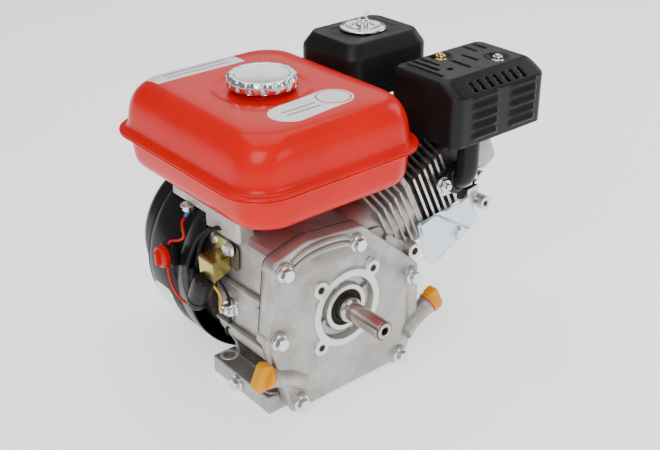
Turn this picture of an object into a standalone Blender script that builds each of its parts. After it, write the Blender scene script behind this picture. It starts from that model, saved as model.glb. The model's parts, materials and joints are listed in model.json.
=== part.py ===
"""Small horizontal-shaft gasoline engine, as an assembly of separate solids.

Lengths are millimetres in an engine frame: the crank axis runs along Y at X = 0, the power take-off
face is Y = 0 with the shaft pointing to -Y, the cylinder leans towards +X, and the feet stand on Z = 0.
The empty engine_frame carries that frame to the middle of the engine's footprint.
"""

import math

import bmesh
import bpy
from mathutils import Matrix, Vector

MM = 0.001
GAP = 0.3

# Footprint centre of the whole engine, in the engine frame.
FOOTPRINT_X = 71.0
FOOTPRINT_Y = 103.0

# Crank train.
SHAFT_HEIGHT = 106.0
SHAFT_TIP = -53.0
STROKE = 45.0
ROD_LENGTH = 84.0
BORE_RADIUS = 34.0
CYLINDER_TILT = math.radians(25.0)
CYLINDER_Y = 72.0
CRANK_TEETH = 20
CAM_TEETH = 40
GEAR_MODULE = 42.0 / CRANK_TEETH
CAM_ANGLE = math.radians(-35.0)

# Castings.
MOUNT_CIRCLE_RADIUS = 46.04
COVER_FRONT = 6.0
COVER_BACK = 26.0
CASE_FRONT = COVER_BACK + GAP
CASE_BACK = 112.0
CASE_WALL = 6.0
DECK = 134.5
HEAD_START = DECK + 1.8
HEAD_END = 222.0
ROCKER_END = 258.0
FIN_DEPTH = 100.0
FIN_WIDTH = 83.0
FIN_THICKNESS = 2.6
FIN_PITCH = 8.0

# Fan end.
HOUSING_FRONT = 125.0
HOUSING_BACK = 208.0
HOUSING_RADIUS = 101.0
RECOIL_BACK = 259.0
ROPE_RADIUS = 46.0
ROPE_THICKNESS = 2.2
BLADES = 12

# Fuel tank.
TANK_SEAM = 250.0
TANK_TOP = 300.0
TANK_BOTTOM = 210.5
TANK_WALL = 2.0
CAP_X = -5.0
CAP_Y = 120.0

# Air cleaner.
FILTER_LEFT = 99.5
FILTER_RIGHT = 213.0
FILTER_NEAR = 110.5
FILTER_FAR = 202.5
FILTER_TOP = 316.0
FILTER_EDGE = 301.0
FILTER_STUD_X = 158.0
FILTER_STUD_Y = 160.0

# Silencer.
GUARD_LEFT = 130.0
GUARD_RIGHT = 261.0
GUARD_NEAR = -8.0
GUARD_FAR = 88.0
GUARD_BOTTOM = 236.0
GUARD_TOP = 301.0
EXHAUST_X = 172.0
EXHAUST_Z = 184.0
HEAD_FACE_Y = 30.0

# Mounting feet.
FOOT_HOLES_X = (-66.0, 96.0)
FOOT_HOLES_Y = (38.0, 113.5)
FOOT_HEIGHT = 20.3

ALONG_Y = Matrix.Rotation(math.radians(-90.0), 4, "X")
FACING_FRONT = Matrix.Rotation(math.radians(90.0), 4, "X")
ALONG_X = Matrix.Rotation(math.radians(90.0), 4, "Y")


def place(x=0.0, y=0.0, z=0.0, turn=None):
    """A local frame at a point of the engine frame, in millimetres."""
    matrix = Matrix.Translation(Vector((x, y, z)) * MM)
    return matrix @ turn if turn else matrix


def along(direction):
    """The turn that lays local Z along a direction."""
    return Vector(direction).to_track_quat("Z", "Y").to_matrix().to_4x4()


CRANK = place(0.0, 0.0, SHAFT_HEIGHT, ALONG_Y)
CRANK_FRONT = place(0.0, 0.0, SHAFT_HEIGHT, FACING_FRONT)
CRANK_KEY = place(0.0, 0.0, SHAFT_HEIGHT, ALONG_Y @ Matrix.Rotation(math.radians(60.0), 4, "Z"))
CYLINDER = place(0.0, CYLINDER_Y, SHAFT_HEIGHT, Matrix.Rotation(math.pi / 2 - CYLINDER_TILT, 4, "Y"))
FRONT = place(turn=FACING_FRONT)
GROUND = place()
CAM_X = GEAR_MODULE * (CRANK_TEETH + CAM_TEETH) / 2 * math.cos(CAM_ANGLE)
CAM_Z = SHAFT_HEIGHT + GEAR_MODULE * (CRANK_TEETH + CAM_TEETH) / 2 * math.sin(CAM_ANGLE)


def clear_scene():
    for obj in list(bpy.data.objects):
        bpy.data.objects.remove(obj)


def new_collection(name):
    collection = bpy.data.collections.new(name)
    bpy.context.scene.collection.children.link(collection)
    return collection


clear_scene()
PARTS = new_collection("small_gasoline_engine")
CUTTERS = new_collection("cutters")
ENGINE_FRAME = bpy.data.objects.new("engine_frame", None)
ENGINE_FRAME.location = (-FOOTPRINT_X * MM, -FOOTPRINT_Y * MM, 0.0)
PARTS.objects.link(ENGINE_FRAME)


def material(name, colour, roughness, metallic):
    """The material called name, made on first use."""
    found = bpy.data.materials.get(name)
    if found:
        return found
    made = bpy.data.materials.new(name)
    made.use_nodes = True
    shader = made.node_tree.nodes["Principled BSDF"]
    shader.inputs["Base Color"].default_value = (*colour, 1.0)
    shader.inputs["Roughness"].default_value = roughness
    shader.inputs["Metallic"].default_value = metallic
    return made


FINISHES = {
    "cast_aluminium": ((0.62, 0.60, 0.57), 0.55, 0.9),
    "dark_casting": ((0.12, 0.11, 0.11), 0.6, 0.8),
    "machined_steel": ((0.55, 0.53, 0.50), 0.3, 1.0),
    "zinc_plate": ((0.72, 0.78, 0.82), 0.3, 1.0),
    "yellow_zinc": ((0.72, 0.60, 0.25), 0.35, 1.0),
    "chrome": ((0.85, 0.85, 0.86), 0.1, 1.0),
    "red_paint": ((0.80, 0.02, 0.02), 0.15, 0.0),
    "black_paint": ((0.02, 0.02, 0.02), 0.3, 0.0),
    "black_plastic": ((0.03, 0.03, 0.03), 0.55, 0.0),
    "yellow_plastic": ((0.95, 0.55, 0.03), 0.4, 0.0),
    "red_plastic": ((0.75, 0.03, 0.02), 0.3, 0.0),
    "black_rubber": ((0.015, 0.015, 0.015), 0.7, 0.0),
    "cast_iron": ((0.18, 0.17, 0.17), 0.6, 0.7),
    "gasket_fibre": ((0.25, 0.24, 0.22), 0.8, 0.0),
    "filter_foam": ((0.55, 0.50, 0.35), 0.9, 0.0),
    "rope_fibre": ((0.85, 0.83, 0.78), 0.8, 0.0),
}


def add_object(name, mesh, frame, finish):
    """Link a mesh: with a finish it is a part, without one it is a tool for booleans."""
    obj = bpy.data.objects.new(name, mesh)
    obj.parent = ENGINE_FRAME
    obj.matrix_local = frame
    if finish:
        colour, roughness, metallic = FINISHES[finish]
        mesh.materials.append(material(f"{name}_{finish}", colour, roughness, metallic))
        PARTS.objects.link(obj)
    else:
        obj.hide_render = True
        obj.display_type = "WIRE"
        CUTTERS.objects.link(obj)
    return obj


def mesh_from(name, bm, smooth_below=35.0):
    """Close a bmesh into a mesh, smooth where faces meet at a small angle."""
    bmesh.ops.recalc_face_normals(bm, faces=bm.faces)
    mesh = bpy.data.meshes.new(name)
    bm.to_mesh(mesh)
    bm.free()
    mesh.shade_smooth()
    mesh.set_sharp_from_angle(angle=math.radians(smooth_below))
    return mesh


def box(name, low, high, finish=None, frame=GROUND, bevel=0.0, segments=1):
    """A box between two corners, with its edges rounded by bevel."""
    bm = bmesh.new()
    low, high = Vector(low), Vector(high)
    bmesh.ops.create_cube(bm, size=1.0)
    bmesh.ops.scale(bm, vec=(high - low) * MM, verts=bm.verts)
    bmesh.ops.translate(bm, vec=(low + high) / 2 * MM, verts=bm.verts)
    if bevel:
        bmesh.ops.bevel(bm, geom=list(bm.edges), offset=bevel * MM, segments=segments,
                        profile=0.5, affect="EDGES")
    return add_object(name, mesh_from(name, bm), frame, finish)


def rod(name, radius, start, end, finish=None, frame=GROUND, steps=16, at=(0.0, 0.0)):
    """A cylinder on local Z from start to end."""
    bm = bmesh.new()
    bmesh.ops.create_cone(bm, cap_ends=True, segments=steps, radius1=radius * MM,
                          radius2=radius * MM,
                          depth=(end - start) * MM)
    bmesh.ops.translate(bm, vec=(at[0] * MM, at[1] * MM, (start + end) / 2 * MM), verts=bm.verts)
    return add_object(name, mesh_from(name, bm), frame, finish)


def turned(name, profile, finish=None, frame=GROUND, steps=24):
    """A turned solid: (radius, height) points down the outside, then up any inside."""
    bm = bmesh.new()
    points = [bm.verts.new((radius * MM, 0.0, height * MM)) for radius, height in profile]
    for first, second in zip(points, points[1:]):
        bm.edges.new((first, second))
    if profile[0][0] > 0.0:
        bm.edges.new((points[-1], points[0]))
    mesh = bpy.data.meshes.new(name)
    bm.to_mesh(mesh)
    bm.free()
    obj = add_object(name, mesh, frame, finish)
    screw = obj.modifiers.new("turn", "SCREW")
    screw.steps = steps
    screw.render_steps = steps
    screw.use_merge_vertices = True
    screw.merge_threshold = 0.00001
    screw.use_smooth_shade = True
    return obj


def from_curve(name, curve, frame, finish, lift=0.0):
    """A curve's surface as a closed mesh, its loose caps welded on."""
    guide = bpy.data.objects.new(name + "_curve", curve)
    bpy.context.scene.collection.objects.link(guide)
    graph = bpy.context.evaluated_depsgraph_get()
    shape = bpy.data.meshes.new_from_object(guide.evaluated_get(graph))
    bpy.data.objects.remove(guide)
    bm = bmesh.new()
    bm.from_mesh(shape)
    bmesh.ops.remove_doubles(bm, verts=bm.verts, dist=0.000002)
    bmesh.ops.translate(bm, vec=(0.0, 0.0, lift * MM), verts=bm.verts)
    return add_object(name, mesh_from(name, bm), frame, finish)


def plate(name, outlines, start, end, finish=None, frame=GROUND):
    """Closed flat outlines, the later ones holes, made solid from start to end on local Z."""
    curve = bpy.data.curves.new(name, "CURVE")
    curve.dimensions = "2D"
    curve.fill_mode = "BOTH"
    curve.extrude = (end - start) / 2 * MM
    for outline in outlines:
        spline = curve.splines.new("POLY")
        spline.points.add(len(outline) - 1)
        spline.use_cyclic_u = True
        for point, (x, y) in zip(spline.points, outline):
            point.co = (x * MM, y * MM, 0.0, 1.0)
    return from_curve(name, curve, frame, finish, lift=(start + end) / 2)


def slab(name, outlines, near, far, finish=None):
    """Outlines in engine X and Z made solid from near to far along Y."""
    return plate(name, outlines, -far, -near, finish, FRONT)


def loft(name, levels, finish=None, frame=GROUND):
    """A closed stack of equal-length outlines, each at its own height."""
    bm = bmesh.new()
    rings = [[bm.verts.new((x * MM, y * MM, z * MM)) for x, y in outline] for outline, z in levels]
    count = len(rings[0])
    for lower, upper in zip(rings, rings[1:]):
        for k in range(count):
            bm.faces.new((lower[k], lower[(k + 1) % count], upper[(k + 1) % count], upper[k]))
    bm.faces.new(list(reversed(rings[0])))
    bm.faces.new(rings[-1])
    return add_object(name, mesh_from(name, bm), frame, finish)


def pipe(name, points, radius, finish=None, frame=GROUND, sides=2):
    """A round bar along a line of points, smoothed between them."""
    curve = bpy.data.curves.new(name, "CURVE")
    curve.dimensions = "3D"
    curve.bevel_depth = radius * MM
    curve.bevel_resolution = sides
    curve.use_fill_caps = True
    spline = curve.splines.new("POLY")
    line = smooth_line(points)
    spline.points.add(len(line) - 1)
    for point, position in zip(spline.points, line):
        point.co = (*(position * MM), 1.0)
    return from_curve(name, curve, frame, finish)


def smooth_line(points, between=3):
    """A Catmull-Rom line through the points."""
    line = [Vector(p) for p in points]
    if len(line) < 3:
        return line
    ends = [2 * line[0] - line[1]] + line + [2 * line[-1] - line[-2]]
    result = []
    for a, b, c, d in zip(ends, ends[1:], ends[2:], ends[3:]):
        for step in range(between):
            t = step / between
            result.append(0.5 * (2 * b + (c - a) * t + (2 * a - 5 * b + 4 * c - d) * t ** 2
                                 + (3 * b - a - 3 * c + d) * t ** 3))
    return result + [line[-1]]


def rounded(corners, steps=2):
    """Corners (x, y, radius) as an outline with an arc at each corner."""
    outline = []
    for index, (x, y, radius) in enumerate(corners):
        corner = Vector((x, y))
        before = (Vector(corners[index - 1][:2]) - corner).normalized()
        after = (Vector(corners[(index + 1) % len(corners)][:2]) - corner).normalized()
        if radius <= 0.0:
            outline.append(tuple(corner))
            continue
        half = before.angle(after) / 2
        centre = corner + (before + after).normalized() * radius / math.sin(half)
        first = corner + before * radius / math.tan(half) - centre
        last = corner + after * radius / math.tan(half) - centre
        swing = first.angle_signed(last)
        for step in range(steps + 1):
            turn = Matrix.Rotation(-swing * step / steps, 2)
            outline.append(tuple(centre + turn @ first))
    return outline


def inset(corners, amount):
    """The same convex corners moved inwards by amount."""
    result = []
    for index, (x, y, radius) in enumerate(corners):
        corner = Vector((x, y))
        before = (Vector(corners[index - 1][:2]) - corner).normalized()
        after = (Vector(corners[(index + 1) % len(corners)][:2]) - corner).normalized()
        half = before.angle(after) / 2
        moved = corner + (before + after).normalized() * amount / math.sin(half)
        result.append((moved.x, moved.y, max(radius - amount, 1.0) if radius else 0.0))
    return result


def rectangle(left, right, low, high, radius):
    return [(left, low, radius), (right, low, radius), (right, high, radius), (left, high, radius)]


def circle(x, y, radius, steps=24):
    angles = [2 * math.pi * step / steps for step in range(steps)]
    return [(x + radius * math.cos(a), y + radius * math.sin(a)) for a in angles]


def boolean(target, tool, operation):
    modifier = target.modifiers.new(f"{operation.lower()}_{tool.name}", "BOOLEAN")
    modifier.operation = operation
    modifier.solver = "EXACT"
    modifier.object = tool
    return target


def join(target, *tools):
    for tool in tools:
        boolean(target, tool, "UNION")
    return target


def cut(target, *tools):
    for tool in tools:
        boolean(target, tool, "DIFFERENCE")
    return target


def repeat(obj, count, step):
    """A row of copies of a tool, a fixed step apart in millimetres."""
    array = obj.modifiers.new("row", "ARRAY")
    array.count = count
    array.use_relative_offset = False
    array.use_constant_offset = True
    array.constant_offset_displace = Vector(step) * MM
    return obj


COVER_CORNERS = [(-62, 5, 10), (88, 4, 12), (105, 50, 25), (105, 112, 12), (28, 183, 12),
                 (-40, 190, 25), (-80, 179, 12), (-89, 98, 14)]
CASE_CORNERS = [(-58, 6, 8), (100, 6, 12), (104, 50, 25), (104, 111, 12), (28, 182, 12),
                (-40, 189, 25), (-76, 180, 10), (-76, 66, 22), (-58, 34, 18)]
COVER_BOLTS = [(17, 169), (-70, 168.5), (-79, 98), (-55, 16), (77, 13), (92, 104)]
OIL_NECKS = {"left": (-79.0, 54.0, -1.0), "right": (116.0, 50.0, 1.0)}
OIL_NECK_Y = 14.0
OIL_NECK_END = 8.0
OIL_NECK_RISE = 0.45


def oil_neck_frame(x, z, sign):
    return place(x, OIL_NECK_Y, z, along((sign, 0, OIL_NECK_RISE)))


def add_crankcase():
    case = slab("crankcase", [rounded(CASE_CORNERS)], CASE_FRONT, CASE_BACK, "cast_aluminium")
    barrel = rod("case_barrel", 41.0, 50.0, DECK, frame=CYLINDER, steps=16)
    fins = plate("case_fins", [rounded(rectangle(-FIN_DEPTH / 2, FIN_DEPTH / 2,
                                                 -FIN_WIDTH / 2, FIN_WIDTH / 2, 16.0), 1)],
                 88.0, 88.0 + FIN_THICKNESS, frame=CYLINDER)
    repeat(fins, 6, (0, 0, FIN_PITCH))
    deck = plate("case_deck", [rounded(rectangle(-46, 46, -41, 41, 14.0))], DECK - 6, DECK, frame=CYLINDER)
    left_foot = box("case_left_foot", (-79, 27.1, 0), (-51.3, 124, FOOT_HEIGHT), bevel=1.1)
    right_foot = box("case_right_foot", (83, 27.1, 0), (110, 124, FOOT_HEIGHT), bevel=1.1)
    bracket = box("case_bracket", (-81, 62, 176), (-60, 118, 203), bevel=3.0)
    bracket_arm = box("case_bracket_arm", (-80, 100, 188), (-63, 178, 202), bevel=3.0)
    arm = box("case_arm", (74, 26.5, 110), (112, 36, 126), bevel=2.0)
    arm_boss = rod("case_arm_boss", 8.5, 20.0, 50.0, frame=place(108, 0, 121, ALONG_Y), steps=20)
    join(case, barrel, deck, fins, left_foot, right_foot, bracket, bracket_arm, arm, arm_boss)

    bearing_boss = rod("case_bearing_boss", 33.0, 100.0, CASE_BACK + 4, frame=CRANK)
    room = slab("case_room", [rounded(inset(CASE_CORNERS, CASE_WALL))], CASE_FRONT - 5, CASE_BACK - CASE_WALL)
    bore = rod("case_bore", BORE_RADIUS + 2 + GAP, 20.0, DECK + 10, frame=CYLINDER, steps=24)
    cut(case, room, bore)
    cam_boss = rod("case_cam_boss", 13.0, 98.0, CASE_BACK - 1, frame=place(CAM_X, 0, CAM_Z, ALONG_Y), steps=16)
    join(case, bearing_boss, cam_boss)
    bearing_seat = rod("case_bearing_seat", 26.4, 90.0, CASE_BACK + 10, frame=CRANK, steps=24)
    cam_seat = rod("case_cam_seat", 8.0 + GAP, 90.0, 107.0, frame=place(CAM_X, 0, CAM_Z, ALONG_Y), steps=16)
    arm_hole = rod("case_arm_hole", 3.2, 10.0, 45.0, frame=place(108, 0, 121, ALONG_Y), steps=12)
    cut(case, bearing_seat, cam_seat, arm_hole)
    for x in FOOT_HOLES_X:
        for y in FOOT_HOLES_Y:
            slot = plate(f"case_slot_{x:.0f}_{y:.0f}", [rounded(rectangle(x - 6, x + 6, y - 4.5, y + 4.5, 4.4))],
                         -5, FOOT_HEIGHT + 12)
            cut(case, slot)
    drain = rod("case_drain_hole", 5.0 + GAP, -20.0, 30.0, frame=place(-79, 80, 9.5, ALONG_X), steps=12)
    sensor = rod("case_sensor_hole", 4.0 + GAP, -10.0, 10.0, frame=place(-76, 86, 97, ALONG_X), steps=12)
    cut(case, drain, sensor)


def add_cover():
    cover = slab("crankcase_cover", [rounded(COVER_CORNERS)], COVER_FRONT + 4, COVER_BACK, "cast_aluminium")
    for number, (x, z) in enumerate(COVER_BOLTS):
        join(cover, rod(f"cover_boss_{number}", 9.5, COVER_FRONT, 22.0, frame=place(x, 0, z, ALONG_Y), steps=12))
    for number in range(4):
        angle = math.radians(45 + 90 * number)
        x, z = MOUNT_CIRCLE_RADIUS * math.cos(angle), SHAFT_HEIGHT + MOUNT_CIRCLE_RADIUS * math.sin(angle)
        join(cover, rod(f"cover_ear_{number}", 8.5, 0.0, 14.0, frame=place(x, 0, z, ALONG_Y), steps=12))
    for side, (x, z, sign) in OIL_NECKS.items():
        join(cover, rod(f"cover_neck_{side}", 9.7, -34.0, OIL_NECK_END, frame=oil_neck_frame(x, z, sign)))
    dome = loft("cover_dome", [(rounded(inset(COVER_CORNERS, 18.0)), -15.0),
                               (rounded(inset(COVER_CORNERS, 29.0)), -3.0)], frame=FRONT)
    ring = rod("cover_ring", 41.0, 0.0, 11.7, frame=CRANK, steps=24)
    join(cover, dome, ring)
    room = slab("cover_room", [rounded(inset(COVER_CORNERS, 15.0))], 14.0, COVER_BACK + 5)
    cut(cover, room)
    bearing_boss = rod("cover_bearing_boss", 32.0, 6.0, COVER_BACK - 1, frame=CRANK)
    cam_boss = rod("cover_cam_boss", 13.0, 10.0, 22.0, frame=place(CAM_X, 0, CAM_Z, ALONG_Y), steps=16)
    join(cover, bearing_boss, cam_boss)
    recess = turned("cover_recess", [(33, 9), (33, -5), (24, -5), (24, 9)], frame=CRANK, steps=24)
    recess_face = rod("cover_recess_face", 24.5, -5.0, 2.0, frame=CRANK)
    seal_seat = rod("cover_seal_seat", 19.2, -5.0, 10.5, frame=CRANK, steps=24)
    bearing_seat = rod("cover_bearing_seat", 26.4, 12.0, 40.0, frame=CRANK, steps=24)
    shaft_hole = rod("cover_shaft_hole", 15.0, -10.0, 40.0, frame=CRANK)
    cam_seat = rod("cover_cam_seat", 8.0 + GAP, 14.0, 40.0, frame=place(CAM_X, 0, CAM_Z, ALONG_Y), steps=16)
    cut(cover, recess, recess_face, seal_seat, bearing_seat, shaft_hole, cam_seat)
    for number in range(4):
        angle = math.radians(45 + 90 * number)
        x, z = MOUNT_CIRCLE_RADIUS * math.cos(angle), SHAFT_HEIGHT + MOUNT_CIRCLE_RADIUS * math.sin(angle)
        cut(cover, rod(f"cover_tapped_hole_{number}", 3.8, -5.0, 12.0, frame=place(x, 0, z, ALONG_Y), steps=8))
    for number, (x, z) in enumerate(COVER_BOLTS):
        cut(cover, rod(f"cover_bolt_hole_{number}", 4.0 + GAP, -5.0, 40.0, frame=place(x, 0, z, ALONG_Y), steps=8))
    for side, (x, z, sign) in OIL_NECKS.items():
        cut(cover, rod(f"cover_neck_bore_{side}", 6.1, -50.0, 20.0, steps=12, frame=oil_neck_frame(x, z, sign)))


def add_cover_bolts():
    """Six flange bolts whose shanks stop in the cover's own thickness."""
    for number, (x, z) in enumerate(COVER_BOLTS, 1):
        frame = place(x, COVER_FRONT - GAP, z, FACING_FRONT)
        bolt = rod(f"cover_bolt_{number}", 8.5, 0.0, 1.6, "zinc_plate", frame, steps=12)
        head = rod(f"bolt_head_{number}", 6.6, 1.0, 7.4, frame=frame, steps=6)
        shank = rod(f"bolt_shank_{number}", 4.0, -19.0, 1.0, frame=frame, steps=8)
        join(bolt, head, shank)


def add_head():
    head = box("cylinder_head", (-35, -35.5, HEAD_START), (35, 35.5, HEAD_END - 2), "dark_casting", CYLINDER, 3.0)
    fins = plate("head_fins", [rounded(rectangle(-FIN_DEPTH / 2, FIN_DEPTH / 2, -FIN_WIDTH / 2,
                                                 FIN_WIDTH / 2, 16.0), 1)],
                 HEAD_START + 4, HEAD_START + 4 + FIN_THICKNESS, frame=CYLINDER)
    repeat(fins, 6, (0, 0, FIN_PITCH))
    face = plate("head_top_face", [rounded(rectangle(-33, 42, -39, 39, 10.0))], HEAD_END - 8, HEAD_END,
                 frame=CYLINDER)
    port = box("head_exhaust_port", (156, HEAD_FACE_Y, 163), (203, 60, 193), bevel=2.0)
    intake = box("head_intake_port", (156, 90, 175), (196, 117, 205), bevel=2.0)
    boss = rod("head_boss", 8.0, 20.0, 50.0, frame=place(213, 0, 142, ALONG_Y), steps=16)
    web = box("head_boss_web", (196, 31, 140), (214, 48, 160), bevel=1.0)
    join(head, fins, face, port, intake, boss, web)
    chamber = rod("head_chamber", 30.0, HEAD_START - 10, HEAD_START + 8, frame=CYLINDER)
    exhaust = rod("head_exhaust_hole", 10.0, 20.0, 60.0, frame=place(EXHAUST_X, 0, EXHAUST_Z, ALONG_Y), steps=16)
    intake_hole = rod("head_intake_hole", 9.0, 90.0, 130.0, frame=place(176, 0, 190, ALONG_Y), steps=16)
    plug_hole = rod("head_plug_hole", 7.0 + GAP, -20.0, 80.0, frame=PLUG, steps=16)
    plug_seat = rod("head_plug_seat", 14.0, 17.4, 80.0, frame=PLUG, steps=16)
    boss_hole = rod("head_boss_hole", 3.2, 10.0, 45.0, frame=place(213, 0, 142, ALONG_Y), steps=12)
    cut(head, chamber, exhaust, intake_hole, plug_hole, plug_seat, boss_hole)
    plate("head_gasket", [rounded(rectangle(-44, 44, -40, 40, 14.0)), circle(0, 0, 35.0)],
          DECK + GAP, DECK + 1.5, "gasket_fibre", CYLINDER)
    turned("cylinder_liner", [(36, DECK - GAP), (36, 66), (BORE_RADIUS, 66), (BORE_RADIUS, DECK - GAP)],
           "cast_iron", CYLINDER)
    rocker = box("rocker_cover", (-21, -39, HEAD_END + GAP), (42, 39, ROCKER_END), "cast_aluminium",
                 CYLINDER, 9.0, 2)
    cut(rocker, box("rocker_room", (-17, -35, HEAD_END - 10), (38, 35, ROCKER_END - 4), frame=CYLINDER, bevel=5.0))


BORE_AXIS = Vector((math.cos(CYLINDER_TILT), 0.0, math.sin(CYLINDER_TILT)))
BORE_SIDE = Vector((math.sin(CYLINDER_TILT), 0.0, -math.cos(CYLINDER_TILT)))
PLUG_POINT = (Vector((0.0, CYLINDER_Y + 16.0, SHAFT_HEIGHT)) + BORE_AXIS * (HEAD_START + 8.0)
              + BORE_SIDE * 16.0)
PLUG_DIRECTION = Vector((0.0, 1.0, 0.0)) + BORE_AXIS * 0.15 + BORE_SIDE * 0.35
PLUG = place(*PLUG_POINT, along(PLUG_DIRECTION))


def add_spark_plug():
    turned("spark_plug", [(0, 56), (3, 56), (3, 48), (5, 47), (5, 33), (10, 32), (10, 19), (7, 18), (7, 0),
                          (2, -1), (0, -1)], "zinc_plate", PLUG, 16)
    turned("spark_plug_cap", [(0, 72), (9, 71), (11, 66), (11, 38), (5.5, 38), (5.5, 58), (0, 58)],
           "black_rubber", PLUG, 20)


def gear_outline(teeth, radius, phase):
    """Trapezoid teeth on a pitch radius, a tooth centred on the phase angle."""
    outline = []
    pitch = 2 * math.pi / teeth
    shape = [(-0.31, -2.4), (-0.10, 1.6), (0.10, 1.6), (0.31, -2.4)]
    for tooth in range(teeth):
        for offset, height in shape:
            angle = phase + (tooth + offset) * pitch
            outline.append(((radius + height) * math.cos(angle), (radius + height) * math.sin(angle)))
    return outline


def add_crank_train():
    crank = turned("crankshaft", [(0, 178), (6, 178), (7, 166), (10, 165), (12, 120), (12.5, 119),
                                  (12.5, 90), (0, 90)], "machined_steel", CRANK, 24)
    nose = turned("crank_nose", [(0, 56), (12.5, 56), (12.5, 8), (11.5, 4), (9.6, 2), (9.6, SHAFT_TIP + 1),
                                 (8.8, SHAFT_TIP), (0, SHAFT_TIP)], frame=CRANK, steps=24)
    webs = box("crank_webs", (-17, -37, 48), (17, 37, 96), frame=CRANK_THROW, bevel=5.0)
    pin_room = box("crank_pin_room", (-50, -60, 60), (50, 50, 84), frame=CRANK_THROW)
    cut(webs, pin_room)
    pin = rod("crank_pin", 14.5, 56.0, 88.0, frame=CRANK_THROW, at=(0.0, -STROKE / 2), steps=24)
    join(crank, nose, webs, pin)
    cut(crank, rod("crank_end_hole", 4.2, SHAFT_TIP - 5, SHAFT_TIP + 22, frame=CRANK, steps=12),
        box("crank_keyway", (7.2, -2.4, -50), (12, 2.4, -8), frame=CRANK_KEY))
    box("shaft_key", (7.2 + GAP, -2.1, -46), (11.6, 2.1, -12), "machined_steel", CRANK_KEY)
    phase = CAM_ANGLE
    plate("crank_gear", [gear_outline(CRANK_TEETH, GEAR_MODULE * CRANK_TEETH / 2, phase),
                         circle(0, 0, 12.5 + GAP)], -37.0, -29.0, "machined_steel", CRANK_FRONT)
    cam_phase = CAM_ANGLE + math.pi + math.pi / CAM_TEETH
    cam = plate("camshaft", [gear_outline(CAM_TEETH, GEAR_MODULE * CAM_TEETH / 2, cam_phase)],
                -37.0, -29.0, "cast_iron", place(CAM_X, 0, CAM_Z, FACING_FRONT))
    shaft = rod("cam_shaft_bar", 8.0, 15.0, 106.0, frame=place(CAM_X, 0, CAM_Z, ALONG_Y), steps=16)
    join(cam, shaft)
    for number, (near, angle) in enumerate([(50.0, 120.0), (78.0, 230.0)]):
        lobe_turn = FACING_FRONT @ Matrix.Rotation(math.radians(angle), 4, "Z")
        lobe = plate(f"cam_lobe_{number}", [[(-8, -7.5), (0, -11), (9, -6.5), (15, 0), (9, 6.5), (0, 11), (-8, 7.5)]],
                     -near - 8, -near, frame=place(CAM_X, 0, CAM_Z, lobe_turn))
        join(cam, lobe)


CRANK_THROW = place(0, 0, SHAFT_HEIGHT, ALONG_Y @ Matrix.Rotation(-CYLINDER_TILT + math.pi / 2, 4, "Z"))
WRIST_PIN = STROKE / 2 + ROD_LENGTH


def add_piston():
    crown = DECK - 0.8
    piston = turned("piston", [(0, crown), (33.2, crown), (33.7, crown - 2), (33.7, crown - 47.5),
                               (29.5, crown - 47.5), (29.5, crown - 9), (0, crown - 9)],
                    "cast_aluminium", place_on_cylinder(), 24)
    cut(piston, rod("piston_pin_hole", 9.0 + GAP, -50, 50, frame=WRIST, steps=16))
    rod("wrist_pin", 9.0, -32.5, 32.5, "machined_steel", WRIST, steps=16)
    beam = box("connecting_rod", (-6, -7, 14), (6, 7, ROD_LENGTH - 10), "cast_aluminium", ROD, 1.0)
    big = rod("rod_big_end", 21.0, -11.0, 11.0, frame=ROD @ ALONG_Y, steps=24)
    small = rod("rod_small_end", 13.0, -11.0, 11.0, frame=ROD @ Matrix.Translation((0, 0, ROD_LENGTH * MM))
                @ ALONG_Y, steps=20)
    join(beam, big, small)
    cut(beam, rod("rod_big_bore", 14.5 + GAP, -20.0, 20.0, frame=ROD @ ALONG_Y, steps=24),
        rod("rod_small_bore", 9.0 + GAP, -20.0, 20.0, steps=20,
            frame=ROD @ Matrix.Translation((0, 0, ROD_LENGTH * MM)) @ ALONG_Y))


def place_on_cylinder(distance=0.0):
    return CYLINDER @ Matrix.Translation((0, 0, distance * MM))


WRIST = place_on_cylinder(WRIST_PIN) @ ALONG_Y
ROD = place_on_cylinder(STROKE / 2)


def add_bearings():
    for name, near in (("main_bearing_pto", 12.3), ("main_bearing_flywheel", 98.5)):
        turned(name, [(25.7, near + 15), (25.7, near), (12.5 + GAP, near), (12.5 + GAP, near + 15)],
               "machined_steel", CRANK, 20)
    turned("oil_seal_pto", [(18.7, 9.5), (18.7, 3.0), (15, 3.0), (15, 4.5), (12.9, 5.5), (12.9, 9.5)],
           "black_rubber", CRANK, 20)


def add_flywheel():
    turned("flywheel", [(84, 150), (84, 122), (70, 120), (22, 124), (18, 119), (12.5 + GAP, 119),
                        (10.4 + GAP, 158), (22, 158), (24, 150)], "cast_iron", CRANK, 28)
    fan = turned("cooling_fan", [(82, 153), (82, 150 + GAP), (26, 150 + GAP), (26, 153)],
                 "black_plastic", CRANK, 24)
    bm = bmesh.new()
    for blade in range(BLADES):
        turn = Matrix.Rotation(2 * math.pi * blade / BLADES, 4, "Z")
        size = Matrix.Diagonal((32 * MM, 2.2 * MM, 26 * MM, 1.0))
        lean = Matrix.Translation((65 * MM, 0, 165 * MM)) @ Matrix.Rotation(math.radians(20), 4, "Z")
        bmesh.ops.create_cube(bm, size=1.0, matrix=turn @ lean @ size)
    blades = add_object("fan_blades", mesh_from("fan_blades", bm), CRANK, None)
    join(fan, blades)
    turned("starter_cup", [(32, 186), (33, 160), (31, 158 + GAP), (10.4 + GAP, 158 + GAP), (10.4 + GAP, 161),
                           (30, 161), (30, 186)], "zinc_plate", CRANK, 20)
    nut = rod("flywheel_nut", 11.5, 166.3, 175.0, "machined_steel", CRANK, steps=6)
    cut(nut, rod("flywheel_nut_bore", 7.0 + GAP, 160, 190, frame=CRANK, steps=16))
    box("ignition_coil", (85, -18, 126), (95, 18, 146), "black_plastic",
        CRANK @ Matrix.Rotation(math.radians(-125), 4, "Z"), 2.0)


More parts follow.
